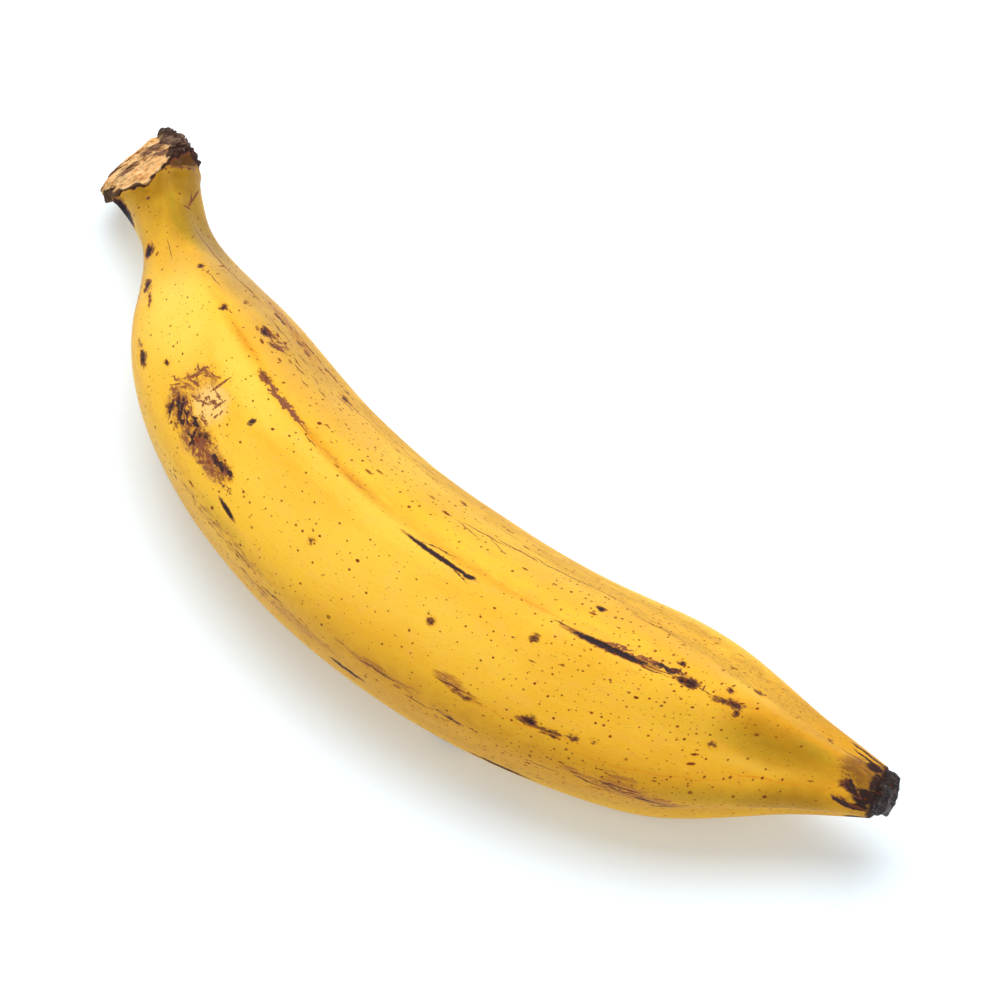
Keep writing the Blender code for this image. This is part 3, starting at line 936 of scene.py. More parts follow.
@dataclass
class TornCrown:
    """The fibrous end where the fruit was torn from its bunch, with its dark cap."""

    form: FruitForm
    columns: int = 260
    wall_rows: int = 74
    face_rows: int = 46
    tuck: float = 1.3
    start: float = 0.9
    dome: float = 1.4
    lump: float = 1.0
    fibre_depth: float = 1.0
    cap_swell: float = 0.8
    cap_lift: float = 2.3
    strand_count: float = 0.05
    strand_length: float = 2.8

    def grow(self) -> tuple[np.ndarray, dict[str, np.ndarray], int]:
        """Work out the surface and the fields that its finish reads.

        Returns:
            Points in mm as grown, fields by name, and the number of rings.
        """
        wall = np.linspace(0, 1, self.wall_rows)
        face = np.linspace(1, 0, self.face_rows + 1)[1:]
        ring_wall = np.concatenate([wall, np.ones(self.face_rows)])
        ring_share = np.concatenate([np.ones(self.wall_rows), face])
        rows = len(ring_wall)
        angle = np.tile(np.linspace(0, TAU, self.columns, endpoint=False), rows)
        down, share = ring_wall.repeat(self.columns), ring_share.repeat(self.columns)
        rim = self.form.ragged_rim(angle)
        distance = self.start + (rim + self.tuck - self.start) * (1 - down)
        below = distance - rim
        hidden = smooth(below, -0.7, 0.8)
        base = self.form.stump(distance, angle, share, np.zeros(len(angle)))
        grain = self.grain(base)
        inward = 1 - share ** 2
        dark = self.cap_field(grain, angle)
        rounded = (
            0.9 * np.exp(-(((1 - down) * 6) ** 2)) * (share > 0.985)
            + 0.9 * np.exp(-(((1 - share) * 9) ** 2))
            * (share <= 0.985)
        )
        lumps = self.lump * roughness_of(grain * (1, 1.4, 1.4), 5.5, 3)
        bent = grain + 0.9 * np.sin(grain[:, [1, 0, 1]] / (3.1, 2.6, 3.7))
        fibres = self.fibre_depth * (roughness_of(bent * (0.13, 1, 1), 1.6, 4, True) - 1.1)
        fibres = fibres + 0.35 * roughness_of(bent * (0.45, 1, 1), 1.1, 3)
        curls = 1.0 * (roughness_of(grain * (0.6, 1, 1) + 2 * np.sin(grain[:, [1, 2, 0]] / 1.5), 2.4, 4,
            True) - 1.0)
        relief = lumps + fibres * (1 - dark) + dark * (curls + self.cap_swell * 0.55)
        rise = relief * (1 - hidden) + 0.35 * (1 - hidden) - 1.3 * hidden - rounded
        lip = np.exp(-((below + 0.9) / 0.8) ** 2)
        rise = rise + lip * (0.35 + 0.3 * dark)
        points = self.form.stump(distance, angle, share, rise * share)
        end = self.form.heading(np.zeros(1))[0]
        out = -np.array([math.cos(end), math.sin(end), 0])
        lift = self.cap_lift * dark * np.exp(-((distance - self.start) / 4) ** 2)
        points = points + out * (inward * (self.dome + relief * 0.8) + lift)[:, None]
        turned = (np.degrees(angle) + 180) % 360 - 180
        # How much further up the wall the dark rim band reaches, round -16 and 41 degrees.
        rim_band_reach = 3.4 * np.exp(-((turned + 16) / 24) ** 2) + 1.1 * np.exp(-((turned - 41) / 9) ** 2)
        fields = {
            "grain": grain, "cap": dark,
            "edge": np.clip(-below - rim_band_reach, -1, 8) * (share > 0.99) + 8 * (share <= 0.99),
            "crest": np.clip(relief, -1.5, 1.5),
            "maroon": self.maroon_field(grain),
        }
        return points, fields, rows

    def grain(self, points: np.ndarray) -> np.ndarray:
        """Coordinates in mm whose first axis follows the torn fibres."""
        middle = self.form.place(np.zeros(1), np.zeros(1), np.zeros(1), np.array([25.6]))[0]
        turn, tilt = self.form.heading(np.zeros(1))[0], math.radians(self.form.crown_long_axis)
        belly = np.array([math.sin(turn), -math.cos(turn), 0])
        length = belly * math.cos(tilt) + np.array([0, 0, math.sin(tilt)])
        axis = np.array([math.cos(turn), math.sin(turn), 0])
        length = length - 0.12 * axis
        length /= np.linalg.norm(length)
        across = np.cross(length, axis)
        return (points - middle) @ np.column_stack([length, axis, across])

    def cap_field(self, grain: np.ndarray, angle: np.ndarray) -> np.ndarray:
        """How far a point belongs to the dark cap, 0 to 1."""
        wander = 1.6 * np.array([noise.noise(Vector(p) / 3.0) for p in grain.tolist()])
        return smooth(grain[:, 0] + wander - 0.1 * grain[:, 1], 3.9, 5.5)

    @staticmethod
    def maroon_field(grain: np.ndarray) -> np.ndarray:
        """How far a point belongs to a maroon patch, 0 to 1."""
        total = np.zeros(len(grain))
        for along, depth, width in ((-3.1, 10.6, 2.6), (2.8, 8.0, 3.0), (-9.5, 4.6, 3.4), (5.4, 12.0, 2.4),
                (-1.0, -1.0, 2.6), (6.0, 2.0, 2.0)):
            gap = np.hypot((grain[:, 0] - along) / 1.9, grain[:, 1] - depth)
            total = np.maximum(total, smooth(-gap, -width, -width * 0.35))
        return total

    def build(self, material: bpy.types.Material) -> bpy.types.Object:
        """Make the crown's piece.

        Args:
            material: the torn tissue's finish.

        Returns:
            The piece.
        """
        points, fields, rows = self.grow()
        piece = grid_mesh("torn_crown", self.form.to_world(points), rows, self.columns, fields)
        piece.data.materials.append(material)
        return piece

    def strand(self) -> bpy.types.Object:
        """One thin, curved, tapering strand, lying along X."""
        steps, sides = 7, 4
        t = np.linspace(0, 1, steps)
        radius = 0.15 * np.sin(math.pi * np.clip(t, 0.06, 0.97)) ** 0.6
        middle = np.column_stack([
            (t - 0.5) * self.strand_length, 0.4 * np.sin(t * 4), 0.3 * np.sin(t * math.pi) - 0.26,
        ])
        turn = np.linspace(0, TAU, sides, endpoint=False)
        ring = np.column_stack([np.zeros(sides), np.cos(turn), np.sin(turn)])
        points = (middle[:, None, :] + radius[:, None, None] * ring[None]).reshape(-1, 3) * MM
        return grid_mesh("strand", points, steps, sides, {})

    def strand_tree(self) -> Graph:
        """The tree that strews strands over the torn face, following its grain."""
        graph, given, result = new_geometry_tree("crown_strands", {
            "Crown": "geometry", "Strand": "object", "Density": "float", "Smallest": "float",
            "Largest": "float", "Cap Crowding": "float", "Seed": "int", "Fibre": "material",
        })
        edge = graph.node("GeometryNodeInputNamedAttribute", {"Name": "edge"}, data_type="FLOAT")
        free = graph.node("FunctionNodeCompare", {0: edge, 1: 0.5}, data_type="FLOAT",
            operation="GREATER_THAN")
        cap = graph.node("GeometryNodeInputNamedAttribute", {"Name": "cap"}, data_type="FLOAT")
        crowding = graph.math("MULTIPLY_ADD", cap, given.outputs["Cap Crowding"], 1.0)
        points = graph.node("GeometryNodeDistributePointsOnFaces", {
            "Mesh": given.outputs["Crown"], "Selection": free, "Seed": given.outputs["Seed"],
            "Density": graph.math("MULTIPLY", crowding, given.outputs["Density"]),
        })
        lengthwise = graph.node("FunctionNodeAlignRotationToVector", {
            "Rotation": points.outputs["Rotation"], "Vector": self.world_grain(),
        }, axis="X", pivot_axis="Z")
        jitter = graph.node("FunctionNodeRandomValue", {
            0: (-0.1, -0.06, -0.32), 1: (0.1, 0.02, 0.32), "Seed": given.outputs["Seed"],
        }, data_type="FLOAT_VECTOR")
        turned = graph.node("FunctionNodeRotateRotation", {
            "Rotation": lengthwise, "Rotate By": graph.node("FunctionNodeEulerToRotation", {0: jitter}),
        }, rotation_space="LOCAL")
        size = graph.node("FunctionNodeRandomValue", {
            2: given.outputs["Smallest"], 3: given.outputs["Largest"], "Seed": given.outputs["Seed"],
        }, data_type="FLOAT")
        shape = graph.node("GeometryNodeObjectInfo", {"Object": given.outputs["Strand"]})
        strewn = graph.node("GeometryNodeInstanceOnPoints", {
            "Points": points, "Instance": shape.outputs["Geometry"],
            "Rotation": turned, "Scale": size.outputs[1],
        })
        real = graph.node("GeometryNodeRealizeInstances", {"Geometry": strewn})
        dressed = graph.node("GeometryNodeSetMaterial",
            {"Geometry": real, "Material": given.outputs["Fibre"]})
        graph.feed(result.inputs[0], dressed)
        return graph

    def world_grain(self) -> Vector:
        """Direction of the torn fibres as the fruit lies."""
        rows = np.array([[0.0, 0, 0], [1.0, 0, 0]])
        turn, tilt = self.form.heading(np.zeros(1))[0], math.radians(self.form.crown_long_axis)
        rows[1] = (math.sin(turn) * math.cos(tilt), -math.cos(turn) * math.cos(tilt), math.sin(tilt))
        laid = self.form.to_world(rows)
        return Vector(laid[1] - laid[0]).normalized()

    def strew(self, crown: bpy.types.Object, material: bpy.types.Material) -> bpy.types.Object:
        """Make the loose strands that lie over the torn face.

        Args:
            crown: the crown's piece.
            material: the strands' finish.

        Returns:
            The piece.
        """
        strand = self.strand()
        base = add_object("crown_base", crown.data.copy())
        piece = run_tree(base, self.strand_tree(), {
            "Strand": strand, "Density": self.strand_count / MM ** 2, "Smallest": 0.4, "Largest": 1.0,
            "Cap Crowding": 9.0, "Seed": 5, "Fibre": material,
        }, "crown_fibres")
        bpy.data.objects.remove(strand, do_unlink=True)
        return piece


# The dried tip -------------------------------------------------------------

@dataclass
class DriedTip:
    """The wrinkled black remnant of the flower at the far end."""

    form: FruitForm
    columns: int = 200
    wall_rows: int = 40
    face_rows: int = 44
    start: float = 283.4
    reach: float = 4.7
    radius: float = 5.1
    lobe_depth: float = 0.5
    wrinkle: float = 0.8
    nub_angle: float = 118.0

    def grow(self) -> tuple[np.ndarray, dict[str, np.ndarray], int]:
        """Work out the surface and the fields that its finish reads.

        Returns:
            Points in mm as grown, fields by name, and the number of rings.
        """
        wall = np.linspace(0, 1, self.wall_rows)
        ring_wall = np.concatenate([wall, np.ones(self.face_rows)])
        ring_share = np.concatenate([np.ones(self.wall_rows), np.linspace(1, 0, self.face_rows + 1)[1:]])
        rows = len(ring_wall)
        angle = np.tile(np.linspace(0, TAU, self.columns, endpoint=False), rows)
        down, share = ring_wall.repeat(self.columns), ring_share.repeat(self.columns)
        ragged = 0.5 * np.sin(2 * angle - 0.4) + 0.35 * np.sin(5 * angle + 1) + 0.22 * np.sin(13 * angle)
        wet = 1.5 * np.exp(-((np.degrees(angle - 0.0) + 180) % 360 - 180 - 8) ** 2 / 24 ** 2)
        begin = self.start + ragged - wet
        distance = begin + (self.start + self.reach - begin) * down
        height = np.interp(distance, (280, 292), (25.0, 25.0))
        tucked = smooth(-down, -0.16, 0.0)
        lobes = self.lobe_depth * (np.cos(5 * angle + 0.7) + 0.6 * np.cos(3 * angle - 0.9))
        gap = np.degrees(angle) - self.nub_angle
        nub = np.exp(-((gap + 180) % 360 - 180) ** 2 / 13 ** 2)
        round_off = 1.5 * np.clip(down - 0.55, 0, 1) ** 2 / 0.2025
        radius = self.radius + lobes * down + 0.9 * nub * smooth(down, 0.1, 0.5) - round_off
        base = self.form.place(distance, angle, radius * share, height)
        wrinkles = self.wrinkle * (roughness_of(base * (0.6, 1, 1), 3.6, 3, True) - 1.05)
        lumps = 0.5 * roughness_of(base, 4.0, 3)
        radius = radius * (1 - 0.11 * tucked) + (wrinkles + lumps) * (1 - tucked)
        points = self.form.place(distance, angle, radius * share, height)
        end = self.form.heading(np.array([self.form.length]))[0]
        out = np.array([math.cos(end), math.sin(end), 0])
        inward = 1 - share ** 2
        folds = 0.6 * (roughness_of(base * (1, 0.45, 1) + 2 * np.sin(base[:, [2, 0, 1]] / 2), 3.4, 3,
            True) - 1.0)
        points = points + out * (inward * (0.55 + folds + lumps) + 0.25 * nub)[:, None]
        fields = {"crest": np.clip(wrinkles + folds * inward, -1, 1), "edge": down + (1 - share)}
        return points, fields, rows

    def build(self, material: bpy.types.Material) -> bpy.types.Object:
        """Make the tip's piece.

        Args:
            material: the dried tissue's finish.

        Returns:
            The piece.
        """
        points, fields, rows = self.grow()
        piece = grid_mesh("dried_tip", self.form.to_world(points), rows, self.columns, fields)
        piece.data.materials.append(material)
        return piece


# Finishes ------------------------------------------------------------------

class ShaderGraph(Graph):
    """Wiring shorthand for a material."""

    def __init__(self, name: str) -> None:
        """Start a material.

        Args:
            name: the material's name.
        """
        self.material = bpy.data.materials.new(name)
        self.material.use_nodes = True
        super().__init__(self.material.node_tree)
        self.shader = self.tree.nodes["Principled BSDF"]

    def field(self, name: str, vector: bool = False) -> bpy.types.NodeSocket:
        """A field stored on the piece's vertices."""
        made = self.node("ShaderNodeAttribute", attribute_name=name, attribute_type="GEOMETRY")
        return made.outputs["Vector" if vector else "Fac"]

    def noise(self, place: bpy.types.NodeSocket, size: float, stretch: float = 1.0, detail: float = 2.0,
              rough: float = 0.5, shift: float = 0.0) -> bpy.types.NodeSocket:
        """Noise around 0.5 whose lumps are a size in mm, stretched along the first axis.

        Args:
            place: coordinates in mm.
            size: width of a lump.
            stretch: how many times longer than wide a lump is.
            detail: finer layers.
            rough: how strong the finer layers are.
            shift: moves the pattern, so that two noises differ.

        Returns:
            The noise.
        """
        scaled = self.node("ShaderNodeMapping", {
            "Vector": place, "Location": (shift, 0, 0), "Scale": (1 / (size * stretch), 1 / size, 1 / size),
        })
        made = self.node("ShaderNodeTexNoise", {
            "Vector": scaled, "Scale": 1.0, "Detail": detail, "Roughness": rough,
        })
        return made.outputs[0]

    def step(self, value: bpy.types.NodeSocket, low: float, high: float) -> bpy.types.NodeSocket:
        """Smooth step of a value from 0 at low to 1 at high."""
        return self.node("ShaderNodeMapRange", {
            "Value": value, "From Min": low, "From Max": high, "To Min": 0.0, "To Max": 1.0,
        }, interpolation_type="SMOOTHSTEP").outputs[0]

    def mix(self, mask: object, under: object, over: object) -> bpy.types.NodeSocket:
        """Lay one colour over another through a mask; colours may be tuples."""
        made = self.node("ShaderNodeMix", data_type="RGBA")
        self.feed(made.inputs[0], mask)
        for index, colour in ((6, under), (7, over)):
            self.feed(made.inputs[index], (*colour, 1.0) if isinstance(colour, tuple) else colour)
        return made.outputs[2]

    def specks(self, sheet: bpy.types.NodeSocket, ragged: bpy.types.NodeSocket, cell: float, stretch: float,
               size: float, share: object, shift: float) -> bpy.types.NodeSocket:
        """Scattered small spots of varied size.

        Args:
            sheet: unrolled coordinates in mm.
            ragged: noise around 0 that frays their edges.
            cell: usual gap between spots, mm.
            stretch: how many times longer than wide a spot is.
            size: biggest radius, mm.
            share: how many of the cells hold a spot, 0 to 1.
            shift: moves the pattern.

        Returns:
            A mask, 1 inside a spot.
        """
        scaled = self.node("ShaderNodeMapping", {
            "Vector": sheet, "Location": (shift, shift, 0), "Scale": (1 / (cell * stretch), 1 / cell, 1),
        })
        cells = self.node("ShaderNodeTexVoronoi", {"Vector": scaled, "Scale": 1.0}, voronoi_dimensions="2D")
        parts = self.node("ShaderNodeSeparateColor", {0: cells.outputs["Color"]})
        held = self.math("GREATER_THAN", share, parts.outputs[0])
        spread = self.math("POWER", parts.outputs[1], 2.6)
        reach = self.math("MULTIPLY", self.math("MULTIPLY_ADD", spread, 0.72 * size, 0.28 * size), held)
        gap = self.math("MULTIPLY", cells.outputs["Distance"], cell)
        inside = self.math("SUBTRACT", reach, self.math("ADD", gap,
            self.math("MULTIPLY", ragged, size * 1.1)))
        return self.step(inside, -0.12, 0.08)

    def bump(self, height: bpy.types.NodeSocket, depth: float, strength: float = 1.0) -> None:
        """Roughen the surface by a height of 0 to 1 that stands for a depth in mm."""
        made = self.node("ShaderNodeBump", {"Height": height, "Distance": depth * MM, "Strength": strength})
        self.feed(self.shader.inputs["Normal"], made)

    def finish(self, colour: bpy.types.NodeSocket, roughness: object,
            **constants: float) -> bpy.types.Material:
        """Feed the shader and hand the material over.

        Args:
            colour: base colour.
            roughness: roughness, a socket or a number.
            constants: other inputs of the shader, set as plain numbers.

        Returns:
            The material.
        """
        self.feed(self.shader.inputs["Base Color"], colour)
        self.feed(self.shader.inputs["Roughness"], roughness)
        for name, value in constants.items():
            self.shader.inputs[name.replace("_", " ").title().replace("Ior", "IOR")].default_value = value
        return self.material


@dataclass(frozen=True)
class Scuff:
    """Short strokes strewn by a fixed seed over an oval patch of skin."""

    seed: int
    count: int
    along: float
    angle: float
    reach: float
    spread: float
    lean: float
    swing: float
    half_length: float
    half_width: float
    hollow: float = 0.0

    def lines(self) -> tuple:
        """Draw the strokes.

        Returns:
            (along, angle, half length, half width, turn) for each stroke.
        """
        draw = np.random.default_rng(self.seed)
        strokes = []
        for _ in range(self.count):
            way = draw.uniform(0, TAU)
            out = math.sqrt(draw.uniform(self.hollow ** 2, 1.0))
            size = draw.uniform(0.5, 1.4)
            strokes.append((
                self.along + self.reach * out * math.cos(way),
                self.angle + self.spread * out * math.sin(way),
                self.half_length * size,
                self.half_width * draw.uniform(0.75, 1.25),
                self.lean + self.swing * draw.uniform(-1.0, 1.0),
            ))
        return tuple(strokes)


@dataclass(frozen=True)
class PeelFinish:
    """Ripe yellow skin with its tints, specks, stains and scars, and painted shade on the neck, the underside
    and under the cap.
    """

    ripe: tuple = (0.95, 0.535, 0.036)
    pale: tuple = (0.99, 0.65, 0.085)
    golden: tuple = (0.82, 0.385, 0.014)
    blush: tuple = (0.93, 0.46, 0.07)
    amber: tuple = (0.64, 0.285, 0.006)
    green: tuple = (0.42, 0.30, 0.012)
    tan: tuple = (0.59, 0.315, 0.050)
    orange: tuple = (0.74, 0.27, 0.010)
    olive_and_shade: tuple = (0.29, 0.140, 0.003)
    painted_cap_shadow: tuple = (0.085, 0.030, 0.005)
    worn: tuple = (0.95, 0.62, 0.22)
    flush: tuple = (0.70, 0.33, 0.06)
    tea: tuple = (0.22, 0.085, 0.016)
    rust: tuple = (0.42, 0.145, 0.022)
    stain: tuple = (0.17, 0.050, 0.020)
    plum: tuple = (0.22, 0.066, 0.036)
    slate: tuple = (0.036, 0.018, 0.019)
    scar: tuple = (0.058, 0.018, 0.013)
    core: tuple = (0.016, 0.009, 0.011)
    speck: tuple = (0.20, 0.032, 0.004)
    char: tuple = (0.040, 0.020, 0.017)
    unit_radius: float = 25.0
    scratches: tuple = (
        # along, angle, half length, half width, turn
        (50, 112, 13.0, 0.34, 1), (63, 116, 9.0, 0.30, 6), (71, 121, 6.0, 0.3, 2),
        (26.8, 132, 5.4, 0.36, -34), (27.7, 125, 3.2, 0.28, -17), (31.0, 113, 1.4, 0.5, 80),
        (68, 91, 5.5, 0.14, 8), (176, 75.5, 5.0, 0.14, 4), (183, 70, 3.4, 0.14, -8),
        (229, 69, 7.0, 0.18, -3), (180, 103, 8.0, 0.22, 8), (176, 98, 5.0, 0.18, -12),
        (188, 107, 7.0, 0.24, 3), (197, 110, 9.0, 0.20, 2), (184, 100, 4.0, 0.16, -24),
        (233, -8, 7.0, 0.24, -16), (238, -14, 6.0, 0.22, -26), (228, -10, 4.0, 0.20, 12),
        (231, -2, 6.0, 0.34, -10), (239, -13, 5.0, 0.36, -28), (225, -5, 3.4, 0.3, -8),
        (244, -20, 3.4, 0.32, -30), (215, -6, 4.0, 0.22, 0), (176, 2, 6.0, 0.26, 2),
        (186, -3, 3.4, 0.26, -4), (136, 4, 3.0, 0.26, 0), (147, -2, 4.0, 0.24, 4),
        (193, 17.5, 5.0, 0.20, 0), (281, 8, 4.4, 0.45, -20), (278, 96, 5.0, 0.22, -6),
        (160, 160, 22, 0.22, 1), (46, 62, 6, 0.12, 0), (90, 118, 6, 0.18, 4), (125, 126, 10, 0.16, 2),
        (142, 131, 12, 0.18, -1), (208, 112, 10, 0.16, 2), (226, 104, 7, 0.18, -3), (98, 112, 2.4, 0.24, 0),
        (105, 111, 2.6, 0.2, 0), (108, 108, 2.8, 0.22, 2), (112, 113, 2.2, 0.2, 0), (90, 117, 2.4, 0.2, 0),
        (103, 118, 2.6, 0.2, 2), (118, 109, 2.0, 0.24, 0), (122, 122, 3.2, 0.3, 0), (114, 103, 1.8, 0.2, 0),
        (210, 72.4, 4.0, 0.2, 0), (233.5, 70.2, 5.0, 0.14, 0), (243, 70.4, 2.4, 0.16, -4),
        (242.6, 71.6, 0.9, 0.2, 80), (95, 104, 3.4, 0.3, -8), (126.6, 82, 4.0, 0.2, -4),
        (132.5, 79.5, 2.4, 0.22, 0),
    )
    plum_lines: tuple = (
        # a few lone strokes: along, angle, half length, half width, turn
        (229, 73, 3.2, 0.3, 6), (222, 73.5, 3, 0.3, 8), (172, 73, 1, 0.4, 0),
    )
    plum_scuffs: tuple = (
        # round the pale patch, down its belly side, and the tongue that trails from it
        Scuff(3, 13, 101, 54, 7.0, 9.0, 40, 50, 1.9, 0.26, 0.55),
        Scuff(5, 12, 101, 38, 9.0, 8.0, 0, 50, 1.6, 0.25),
        Scuff(8, 17, 116, 30, 8.0, 6.0, 4, 30, 2.1, 0.28),
        # peppering inside the pale patch
        Scuff(11, 11, 107, 48, 6.0, 8.0, 0, 60, 0.32, 0.24),
        # arms of the splash on the shoulder
        Scuff(17, 5, 97, 106, 5.0, 3.0, 50, 40, 1.6, 0.3),
        # the broken scar on the top ridge
        Scuff(14, 7, 118, 83, 7.5, 0.8, -3, 3, 2.6, 0.42),
    )
    slate_lines: tuple = (
        (234, 73, 2.8, 0.5, 6), (118, 63, 0.6, 0.6, 0), (280, 33, 2.0, 0.5, -30), (279, 7, 2.4, 0.36, -22),
        (280, 40, 1.6, 0.4, -50), (280, 110, 2.6, 0.24, -8), (280, 124, 3.4, 0.34, -4),
    )
    slate_scuffs: tuple = (
        Scuff(2, 10, 104, 32, 8.0, 5.0, -25, 45, 1.7, 0.36),
        Scuff(6, 4, 120, 34, 3.5, 2.5, -10, 20, 1.7, 0.42),
    )
    gashes: tuple = (
        (176.6, 72.2, 7.4, 0.44, -2), (220.8, 70.7, 8.2, 0.64, -1), (185.3, 71.4, 1.2, 0.46, 12),
        (128, 20, 2.5, 0.5, -10),
    )
    amber_lines: tuple = (
        (133, 81, 7.0, 0.2, 0), (146, 79.6, 7.0, 0.24, -3), (200, 75, 10, 0.12, 0),
        (131.5, 82, 1.2, 0.16, 60), (141, 80, 1.4, 0.16, -50), (236, 12, 20.0, 0.2, 2),
        (210, 15, 12.0, 0.2, 1), (96, 87, 9.5, 0.3, -1), (100, 88, 2.4, 0.25, 24), (262, 20, 10, 0.3, 0),
    )

    @staticmethod
    def strewn(scuffs: tuple) -> tuple:
        """All the strokes of several scuffs, in one tuple."""
        return tuple(stroke for scuff in scuffs for stroke in scuff.lines())

    @staticmethod
    def unrolled(g: ShaderGraph) -> bpy.types.NodeSocket:
        """Distance along the fruit and arc round it, mm."""
        wrap = g.node("ShaderNodeSeparateXYZ", {0: g.field("round", True)})
        angle = g.math("ARCTAN2", wrap.outputs[1], wrap.outputs[0])
        arc = g.math("MULTIPLY", angle, g.field("girth"))
        return g.node("ShaderNodeCombineXYZ", {0: g.field("along"), 1: arc, 2: 0.0}).outputs[0]

    def line_mask(self, g: ShaderGraph, lines: tuple, wander: bpy.types.NodeSocket,
                  outer: float = 1.15, inner: float = 0.55) -> bpy.types.NodeSocket:
        """Thin tapering lines over the skin.

        Args:
            g: the material's graph.
            lines: along, angle, half length, half width and turn of each.
            wander: how far the lines stray sideways, mm.
            outer: where a line ends, in half widths.
            inner: where it is full, in half widths.

        Returns:
            A mask, 1 on a line.
        """
        wrap = g.node("ShaderNodeSeparateXYZ", {0: g.field("round", True)})
        angle = g.math("ARCTAN2", wrap.outputs[1], wrap.outputs[0])
        arc = g.math("ADD", g.math("MULTIPLY", angle, self.unit_radius), wander)
        sheet = g.vector("ADD", g.node("ShaderNodeCombineXYZ", {0: g.field("along"), 1: arc, 2: 1.0}),
            (0, 0, 0))
        form = FruitForm()
        nearest = 100.0
        for along, degrees, half_length, half_width, turn in lines:
            girth = float(form.profile(np.array([along]))[0][0])
            shrink = girth / self.unit_radius
            middle = math.radians(degrees) * girth
            c, s = math.cos(math.radians(turn)), math.sin(math.radians(turn))
            lengthwise = np.array([c, s * shrink, -along * c - middle * s]) / half_length
            sideways = np.array([-s, c * shrink, along * s - middle * c]) / half_width
            x = self.dot(g, sheet, lengthwise)
            y = self.dot(g, sheet, sideways)
            gap = g.math("MULTIPLY_ADD", y, y, g.math("MULTIPLY", x, x))
            nearest = g.math("MINIMUM", nearest, gap)
        return g.step(g.math("SQRT", nearest), outer, inner)

    @staticmethod
    def dot(g: ShaderGraph, vector: bpy.types.NodeSocket, weights: np.ndarray) -> bpy.types.NodeSocket:
        """Weighted sum of a vector's three numbers."""
        made = g.node("ShaderNodeVectorMath", {0: vector, 1: tuple(weights.tolist())},
            operation="DOT_PRODUCT")
        return made.outputs["Value"]

    def tinted(self, g: ShaderGraph, place: bpy.types.NodeSocket) -> bpy.types.NodeSocket:
        """The living skin's colour, with painted shade on the neck, the underside and under the cap, before
        any mark.
        """
        broad = g.step(g.noise(place, 14, 2.0, 4.0), 0.38, 0.68)
        streak = g.noise(place, 1.1, 14, 3.0, 0.6)
        mottle = g.noise(place, 2.6, 1.5, 5.0, 0.65, 3.0)
        flecks = g.noise(place, 0.7, 1.8, 3.0, 0.6, 13.0)
        colour = g.mix(g.math("MULTIPLY", broad, 0.46), self.ripe, self.golden)
        colour = g.mix(g.math("MULTIPLY", g.step(streak, 0.46, 0.72), 0.16), colour, self.pale)
        colour = g.mix(g.math("MULTIPLY", g.step(mottle, 0.48, 0.70), 0.5), colour, self.blush)
        colour = g.mix(g.math("MULTIPLY", g.step(flecks, 0.52, 0.76), 0.3), colour, self.golden)
        # The second of these tints is partly painted shade on the neck's two facets.
        for name, tint, most in (("pale", self.pale, 0.9), ("tan", self.tan, 0.72)):
            spread = g.math("MULTIPLY", g.field(name), g.math("MULTIPLY_ADD", mottle, 1.0, 0.4), clamp=True)
            colour = g.mix(g.math("MULTIPLY", spread, most), colour, tint)
        near_ridge = g.math("MULTIPLY", g.step(g.field("ridge_gap"), 2.6, 0.2), g.step(mottle, 0.34, 0.6))
        colour = g.mix(g.math("MULTIPLY", near_ridge, 0.42), colour, self.golden)
        # This amber tint is partly painted shade along the underside.
        ambered = g.math("MULTIPLY", g.field("amber"), g.math("MULTIPLY_ADD", mottle, 0.7, 0.5), clamp=True)
        colour = g.mix(ambered, colour, self.amber)
        # This green tint is partly painted shade on the neck's right facet.
        greened = g.math("MULTIPLY", g.field("green"), g.math("MULTIPLY_ADD", streak, 1.0, 0.25), clamp=True)
        colour = g.mix(greened, colour, self.green)
        # Of these two tints, the first is partly painted shade on the neck and the second paints the shadow
        # that the cap casts into the recess under it.
        for name, tint in (("olive_and_shade", self.olive_and_shade), ("painted_cap_shadow", self.painted_cap_shadow)):
            spread = g.math("MULTIPLY", g.field(name), g.math("MULTIPLY_ADD", mottle, 0.6, 0.65), clamp=True)
            colour = g.mix(g.math("MULTIPLY", spread, 0.94), colour, tint)
        return colour

    def corky(self, g: ShaderGraph, place: bpy.types.NodeSocket,
              colour: bpy.types.NodeSocket) -> tuple[bpy.types.NodeSocket, bpy.types.NodeSocket]:
        """Lay the tanned, finely lined strips over a colour; returns it and the strips' mask."""
        field = g.field("cork")
        patchy = g.noise(place, 4.0, 3.5, 4.0, 0.6, 11.0)
        mask = g.step(g.math("ADD", field, g.math("MULTIPLY", g.math("SUBTRACT", patchy, 0.5), 2.4)), 0.3,
            1.25)
        colour = g.mix(g.math("MULTIPLY", mask, 0.6), colour, self.tan)
        fine = g.noise(place, 0.34, 26, 3.0, 0.6, 5.0)
        lines = g.math("MULTIPLY", g.step(fine, 0.55, 0.66), g.math("MULTIPLY_ADD", mask, 0.8, 0.03))
        return g.mix(lines, colour, self.rust), mask

